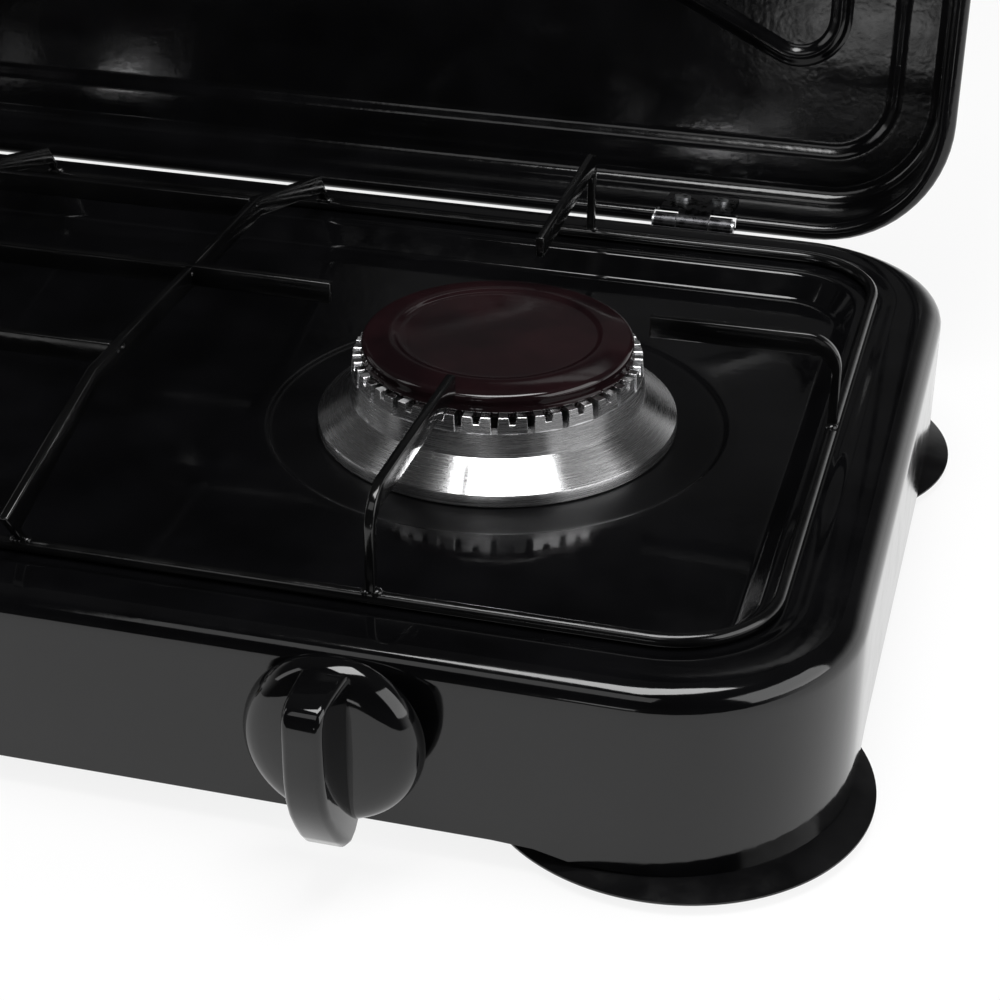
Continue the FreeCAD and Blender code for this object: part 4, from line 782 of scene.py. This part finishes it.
def rounded_path(tree, into, count):
    """The path that a tree is given, as a curve with corners of the radius in its Corner input."""
    curve = tree.nodes.new("GeometryNodeMeshToCurve")
    fillet = tree.nodes.new("GeometryNodeFilletCurve")
    if hasattr(fillet, "mode"):
        fillet.mode = "POLY"
    fillet.inputs["Count"].default_value = count
    link(tree, into, "Geometry", curve, 0)
    link(tree, curve, 0, fillet, "Curve")
    link(tree, into, "Corner", fillet, "Radius")
    return fillet


def polyline(name, loops):
    """A mesh of closed lines, as a path for a tree to follow."""
    points, edges = [], []
    for loop in loops:
        first = len(points)
        points += [tuple(c * MM for c in point) for point in loop]
        edges += [(first + n, first + (n + 1) % len(loop)) for n in range(len(loop))]
    mesh = bpy.data.meshes.new(name)
    mesh.from_pydata(points, edges, [])
    return mesh


# %% Beads on the lid panel
def ridge_tree():
    tree, into, out = geometry_tree("pressed_bead", [
        ("Corner", "NodeSocketFloat", 0.012), ("Profile", "NodeSocketObject", None)])
    fillet = rounded_path(tree, into, 16)
    resample = tree.nodes.new("GeometryNodeResampleCurve")
    resample.inputs["Count"].default_value = 420
    shape = tree.nodes.new("GeometryNodeObjectInfo")
    line = tree.nodes.new("GeometryNodeMeshToCurve")
    sweep = tree.nodes.new("GeometryNodeCurveToMesh")
    link(tree, fillet, 0, resample, "Curve")
    link(tree, into, "Profile", shape, "Object")
    link(tree, shape, "Geometry", line, 0)
    link(tree, resample, 0, sweep, "Curve")
    link(tree, line, 0, sweep, "Profile Curve")
    end_tree(tree, sweep, 0, out, lid_enamel)
    return tree


def open_line(name, points):
    """A line object through these points, as the profile that a tree sweeps."""
    mesh = bpy.data.meshes.new(name)
    spots = [tuple(c * MM for c in point) for point in points]
    mesh.from_pydata(spots, [(n, n + 1) for n in range(len(points) - 1)], [])
    return add_object(name, mesh)


BEAD_HALF, BEAD_HEIGHT, BEAD_STEPS = 3.9, 1.6, 16
BEAD_SUNK = 0.03
bead_points = []
for number in range(BEAD_STEPS + 1):
    across = 2 * number / BEAD_STEPS - 1
    rise = BEAD_HEIGHT * (0.5 + 0.5 * math.cos(math.pi * across)) - BEAD_SUNK
    bead_points.append((BEAD_HALF * across, rise, 0))
bead_profile = open_line("bead_profile", bead_points)
bead_loops = []
for side in (1, -1):
    base_x, point_x = (LID_X - 41.5) * side, (LID_X - 224.0) * side
    triangle = [(base_x, -42.5), (base_x, -219.0), (point_x, -130.75)]
    bead_loops.append([(x, y, LID_PANEL) for x, y in triangle])
bead_piece = run_tree("lid_beads", ridge_tree(), polyline("bead_path", bead_loops),
                      {"Corner": 0.013, "Profile": bead_profile})
bpy.data.objects.remove(bead_profile)
low_z = min(v.co.z for v in bead_piece.data.vertices)
high_z = max(v.co.z for v in bead_piece.data.vertices)
print("bead heights", round(low_z / MM, 2), round(high_z / MM, 2))
bead_piece.data.transform(lid_open)
dress(bead_piece, lid_enamel, "lid", (), 60.0)

# %% [markdown]
# A burner head is an aluminium casting, turned bright on a lathe. Its cone and wall are one profile.
# The crown is a ring of teeth with a shallow and a deep slot between them in turn, so one pair of
# teeth is modelled and a tree sets it round the crown.

# %% Burner heads
PAIRS = 26
TOOTH_TOP = 21.1
TOOTH_HEIGHT = 4.6
TOOTH_INSIDE, TOOTH_OUTSIDE = 36.3, 40.1


def tooth_pair():
    """Two teeth on a common root, bent to the crown, with a shallow slot between them."""
    half = 360.0 / PAIRS / 2
    outline = [(-half + 1.1, -0.1), (-half + 1.5, TOOTH_HEIGHT), (-1.6, TOOTH_HEIGHT), (-1.1, 2.6),
               (1.1, 2.6), (1.6, TOOTH_HEIGHT), (half - 1.5, TOOTH_HEIGHT), (half - 1.1, -0.1)]
    bm = bmesh.new()
    rows = []
    for inner in (False, True):
        row = []
        for degrees, rise in outline:
            radius = TOOTH_INSIDE if inner else TOOTH_OUTSIDE - rise * 0.085
            angle = math.radians(degrees)
            row.append(bm.verts.new((radius * math.cos(angle) * MM, radius * math.sin(angle) * MM,
                                     (DISH + TOOTH_TOP - TOOTH_HEIGHT + rise) * MM)))
        rows.append(row)
    close_prism(bm, rows[0], rows[1])
    layer = bm.loops.layers.uv.new("turned")
    for face in bm.faces:
        for loop in face.loops:
            spot = loop.vert.co
            loop[layer].uv = (math.atan2(spot.y, spot.x) * 0.04, spot.z)
    sharp = [edge for edge in bm.edges if edge.calc_face_angle(0) > 0.5]
    bmesh.ops.bevel(bm, geom=sharp, offset=0.00016, segments=1, affect="EDGES")
    return add_object("tooth_pair", to_mesh("tooth_pair", bm))


def crown_tree():
    """Copies of one pair of teeth, turned about the burner's axis."""
    tree, into, out = geometry_tree("crown_of_teeth", [
        ("Pairs", "NodeSocketInt", PAIRS), ("Tooth", "NodeSocketObject", None)])
    line = tree.nodes.new("GeometryNodeMeshLine")
    line.mode = "OFFSET"
    line.inputs["Offset"].default_value = (0, 0, 0)
    shape = tree.nodes.new("GeometryNodeObjectInfo")
    index = tree.nodes.new("GeometryNodeInputIndex")
    step = add_node(tree, "ShaderNodeMath", operation="DIVIDE")
    turn_by = add_node(tree, "ShaderNodeMath", operation="MULTIPLY")
    turn_by.inputs[1].default_value = 2 * math.pi
    angles = tree.nodes.new("ShaderNodeCombineXYZ")
    copies = tree.nodes.new("GeometryNodeInstanceOnPoints")
    move = tree.nodes.new("GeometryNodeJoinGeometry")
    link(tree, into, "Pairs", line, "Count")
    link(tree, into, "Tooth", shape, "Object")
    link(tree, index, 0, step, 0)
    link(tree, into, "Pairs", step, 1)
    link(tree, step, 0, turn_by, 0)
    link(tree, turn_by, 0, angles, "Z")
    link(tree, line, 0, copies, "Points")
    link(tree, shape, "Geometry", copies, "Instance")
    link(tree, angles, 0, copies, "Rotation")
    link(tree, into, "Geometry", move, 0)
    link(tree, copies, 0, move, 0)
    end_tree(tree, move, 0, out, burner_metal)
    return tree


HEAD_PROFILE = [(46.8, 0.2), (46.8, 2.0), (39.9, 6.3), (34.2, 6.3), (34.2, -7.2), (30.8, -7.2),
                (30.8, 9.7), (36.3, 15.9), (36.3, 16.5), (40.08, 16.5), (40.1, 16.3), (40.72, 10.3),
                (40.80, 9.85), (41.1, 9.65), (45.0, 6.9), (48.9, 4.15), (49.6, 3.6), (49.8, 3.1),
                (49.8, 1.7), (49.8, 0.5), (49.5, 0.1), (46.8, 0.2)]
tooth = tooth_pair()
teeth_tree = crown_tree()
for name, side in (("right", 1), ("left", -1)):
    bm = bmesh.new()
    lathe(bm, [(radius, DISH + z) for radius, z in HEAD_PROFILE], 144, (0, 0))
    bmesh.ops.remove_doubles(bm, verts=bm.verts, dist=1e-7)
    bmesh.ops.recalc_face_normals(bm, faces=bm.faces)
    casting = to_mesh("casting", bm)
    head = run_tree("burner_casting_" + name, teeth_tree, casting, {"Pairs": PAIRS, "Tooth": tooth})
    head.data.transform(Matrix.Translation((BURNER_X * side, MIDDLE_Y, 0)))
    dress(head, burner_metal, "burner_" + name, ["burner_head_" + name], 25.0)
bpy.data.objects.remove(tooth)

# %% [markdown]
# The cap is a small pressing in dark red enamel with a shallow dish in its middle. It is a plain
# turning, and its edge is a full radius, because the bright line along that edge is what the eye
# reads first.

# %% Burner caps
for name, side in (("right", 1), ("left", -1)):
    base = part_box("burner_cap_" + name)[0].z / MM + 1.8
    profile = [(0, 2.6), (33.4, 2.6), (33.8, 2.4), (34.0, -1.7), (36.0, -1.7), (36.1, 0.0), (36.9, 0.05)]
    profile += arc((36.9, 0.6), 0.55, -90, 20, 5) + [(37.15, 1.4), (37.2, 2.4)]
    profile += arc((35.5, 3.3), 1.75, 0, 80, 9)
    profile += [(33.5, 5.45), (31.0, 5.85), (29.6, 5.95)] + ease((28.9, 5.95), (26.9, 5.4), 7)
    profile += [(25.0, 5.38), (18.0, 5.46), (8.0, 5.55), (0, 5.58)]
    bm = bmesh.new()
    lathe(bm, [(radius, base + z) for radius, z in profile], 128, (BURNER * side, MID))
    bmesh.ops.recalc_face_normals(bm, faces=bm.faces)
    finish_piece("cap_dish_" + name, bm, cap_enamel, "cap_" + name,
                 ["burner_cap_" + name], 50.0)

# %% [markdown]
# The knob is one moulding: a domed disc, and a grip bar whose front is straight at the top and
# curves back at its lower end. The disc is turned; the bar is its side view, given a width and
# rounded edges.

# %% Knobs
KNOB_GAP = 4.6


def make_knob(name, side):
    back = KNOB_GAP - FRONT
    bm = bmesh.new()
    profile = [(0, 0.0), (19.6, 0.0), (20.6, 0.3), (21.3, 1.0), (21.7, 2.2), (21.6, 3.4), (21.2, 4.8),
               (20.4, 6.2), (19.2, 7.4), (17.6, 8.35), (15.6, 9.0), (12.0, 9.7), (6.0, 10.2), (0, 10.4)]
    centre = (BURNER * side, 0, KNOB_LEVEL)
    lathe(bm, [(radius, back + z) for radius, z in profile], 96, centre, axis="Y")
    bmesh.ops.recalc_face_normals(bm, faces=bm.faces)
    disc = to_mesh("disc", bm)

    side_view = [(4.0, 19.8), (8.0, 20.6), (12.0, 20.9), (17.0, 21.0), (20.4, 20.8), (22.8, 19.6),
                 (24.1, 17.2), (24.35, 13.0), (24.35, 5.0), (24.2, 0.8), (23.2, -5.0), (21.3, -10.0),
                 (18.4, -15.0), (15.0, -20.0), (11.6, -24.0), (8.6, -25.15), (5.4, -24.0), (2.4, -21.0)]
    bm = bmesh.new()
    rows = []
    for direction in (-1, 1):
        row = []
        for reach, rise in side_view:
            half = 4.78 + (24.4 - reach) * 0.055
            row.append(bm.verts.new(((BURNER * side + half * direction) * MM, -(back + reach) * MM,
                                     (KNOB_LEVEL + rise) * MM)))
        rows.append(row)
    close_prism(bm, rows[0], rows[1])
    rims = [edge for edge in bm.edges if edge.calc_face_angle(0) > 1.2]
    bmesh.ops.bevel(bm, geom=rims, offset=0.0017, segments=5, profile=0.5, affect="EDGES")
    bm.from_mesh(disc)
    finish_piece("knob_moulding_" + name, bm, knob_plastic, "knob_" + name,
                 ["knob_" + name], 40.0)


for name, side in (("right", 1), ("left", -1)):
    make_knob(name, side)

# %% [markdown]
# The grate is flat steel strip and one bent rod, welded and enamelled. A strip's long edges are
# rolled round, and each shows as a thin bright line, so the strips are copies of the CAD solids with
# their edges bevelled. The rod is swept along its path by a tree, and the weld beads are small blobs
# that another tree sets where the strips meet.

# %% Grate strips
STRIPS = ["grate_divider_right", "grate_divider_left", "grate_bar_middle", "grate_bar_front",
          "grate_bar_back"]
for name in ("right", "left"):
    STRIPS += ["grate_finger_%s_%s" % (way, name) for way in ("front", "back", "side")]


STRIP_EDGE = 0.00055
STRIP_SHARP = 0.6


def bevelled_copy(node):
    """A merged copy of a CAD node's mesh with its sharp edges rounded."""
    bm = bmesh.new()
    bm.from_mesh(frame["nodes"][node].data)
    bmesh.ops.remove_doubles(bm, verts=bm.verts, dist=2e-6)
    bmesh.ops.dissolve_limit(bm, angle_limit=0.01, verts=bm.verts, edges=bm.edges)
    joined = [edge for edge in bm.edges if len(edge.link_faces) == 2]
    sharp = [edge for edge in joined if edge.calc_face_angle(0) > STRIP_SHARP]
    bmesh.ops.bevel(bm, geom=sharp, offset=STRIP_EDGE, segments=3, profile=0.5, affect="EDGES",
                    clamp_overlap=True)
    return to_mesh(node, bm)


bm = bmesh.new()
for node in STRIPS:
    bm.from_mesh(bevelled_copy(node))
finish_piece("grate_strips", bm, grate_enamel, "grate", STRIPS, 35.0)


# %% Grate rod
def rod_tree():
    tree, into, out = geometry_tree("bent_rod", [
        ("Radius", "NodeSocketFloat", 0.00175), ("Corner", "NodeSocketFloat", 0.026)])
    fillet = rounded_path(tree, into, 18)
    circle = tree.nodes.new("GeometryNodeCurvePrimitiveCircle")
    circle.inputs["Resolution"].default_value = 16
    sweep = tree.nodes.new("GeometryNodeCurveToMesh")
    link(tree, into, "Radius", circle, "Radius")
    link(tree, fillet, 0, sweep, "Curve")
    link(tree, circle, 0, sweep, "Profile Curve")
    end_tree(tree, sweep, 0, out, grate_enamel)
    return tree


rod_low, rod_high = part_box("grate_frame")
ROD = 1.75
rod_x = rod_high.x / MM - ROD
rod_front, rod_back = rod_low.y / MM + ROD, rod_high.y / MM - ROD
rod_z = (rod_low.z + rod_high.z) / 2 / MM
rod_path = [(-rod_x, rod_front, rod_z), (rod_x, rod_front, rod_z),
            (rod_x, rod_back, rod_z), (-rod_x, rod_back, rod_z)]
rod_piece = run_tree("grate_rod", rod_tree(), polyline("rod_path", [rod_path]),
                     {"Radius": ROD * MM, "Corner": 0.026})
dress(rod_piece, grate_enamel, "grate", ["grate_frame"], 60.0)


# %% Weld beads
def bead_blob():
    bm = bmesh.new()
    bmesh.ops.create_icosphere(bm, subdivisions=2, radius=1.0)
    return add_object("weld_blob", to_mesh("weld_blob", bm))


def weld_tree():
    """A blob on every point, a little different each time, from a fixed seed."""
    tree, into, out = geometry_tree("weld_beads", [
        ("Size", "NodeSocketFloat", 0.0016), ("Seed", "NodeSocketInt", 4),
        ("Blob", "NodeSocketObject", None)])
    shape = tree.nodes.new("GeometryNodeObjectInfo")
    copies = tree.nodes.new("GeometryNodeInstanceOnPoints")
    vary = tree.nodes.new("FunctionNodeRandomValue")
    vary.data_type = "FLOAT_VECTOR"
    vary.inputs[0].default_value = (0.8, 0.8, 0.55)
    vary.inputs[1].default_value = (1.25, 1.25, 0.8)
    scale = tree.nodes.new("ShaderNodeVectorMath")
    scale.operation = "SCALE"
    link(tree, into, "Blob", shape, "Object")
    link(tree, into, "Geometry", copies, "Points")
    link(tree, shape, "Geometry", copies, "Instance")
    link(tree, into, "Seed", vary, "Seed")
    link(tree, vary, 0, scale, 0)
    link(tree, into, "Size", scale, "Scale")
    link(tree, scale, 0, copies, "Scale")
    end_tree(tree, copies, 0, out, grate_enamel)
    return tree


ROD_WELD_RISE, ROD_WELD_HALF = 1.5, 1.3
STRIP_WELD_LEVEL, STRIP_WELD_HALF = 79.4, 1.5
BAR_PLACE = 51.5
UPPER_STRIPS = 60
on_rod = rod_z + ROD_WELD_RISE
weld_spots = []
for node in STRIPS:
    low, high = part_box(node)
    low, high = low / MM, high / MM
    middle_x, middle_y = (low.x + high.x) / 2, (low.y + high.y) / 2
    if low.z > UPPER_STRIPS:
        continue
    both = (-ROD_WELD_HALF, ROD_WELD_HALF)
    if "divider" in node:
        weld_spots += [(middle_x + d, y, on_rod) for y in (rod_front, rod_back) for d in both]
    elif "side" in node:
        edge = rod_x if middle_x > 0 else -rod_x
        weld_spots += [(edge, middle_y + d, on_rod) for d in both]
    else:
        edge = rod_front if "front" in node else rod_back
        weld_spots += [(middle_x + d, edge, on_rod) for d in both]
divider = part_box("grate_divider_right")[0].x / MM + 1.25
for along in (MID - BAR_PLACE, MID + BAR_PLACE, MID):
    for side in (1, -1):
        both = (along - STRIP_WELD_HALF, along + STRIP_WELD_HALF)
        weld_spots += [(divider * side, y, STRIP_WELD_LEVEL) for y in both]
weld_mesh = bpy.data.meshes.new("weld_places")
weld_mesh.from_pydata([tuple(c * MM for c in spot) for spot in weld_spots], [], [])
blob = bead_blob()
welds = run_tree("weld_beads", weld_tree(), weld_mesh, {"Size": 0.0016, "Blob": blob})
bpy.data.objects.remove(blob)
dress(welds, grate_enamel, "grate", (), 80.0)

# %% [markdown]
# The rest of the CAD nodes have the right shape already and only need their finish. Each is given
# the material of its kind.

# %% Finishes for the CAD nodes
BY_SLOT = {"foot_plastic": foot_plastic, "foot_rubber": pad_rubber, "zinc_steel": zinc,
           "spring_steel": spring_wire, "rail_steel": rail_steel, "valve_brass": valve_brass,
           "valve_cast": valve_casting, "cup_metal": cup_metal, "burner_metal": burner_metal,
           "cap_enamel": cap_enamel, "knob_plastic": knob_plastic, "black_enamel": black_enamel,
           "hinge_steel": black_zinc}
for row in frame["record"]["subparts"]:
    piece = frame["nodes"][row["node"]]
    piece.data.materials.clear()
    piece.data.materials.append(BY_SLOT[row["material_slot"]])

# %% [markdown]
# Last, the box round the finished stove is worked out.

# %% Sizes and the end
import json

low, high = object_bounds()
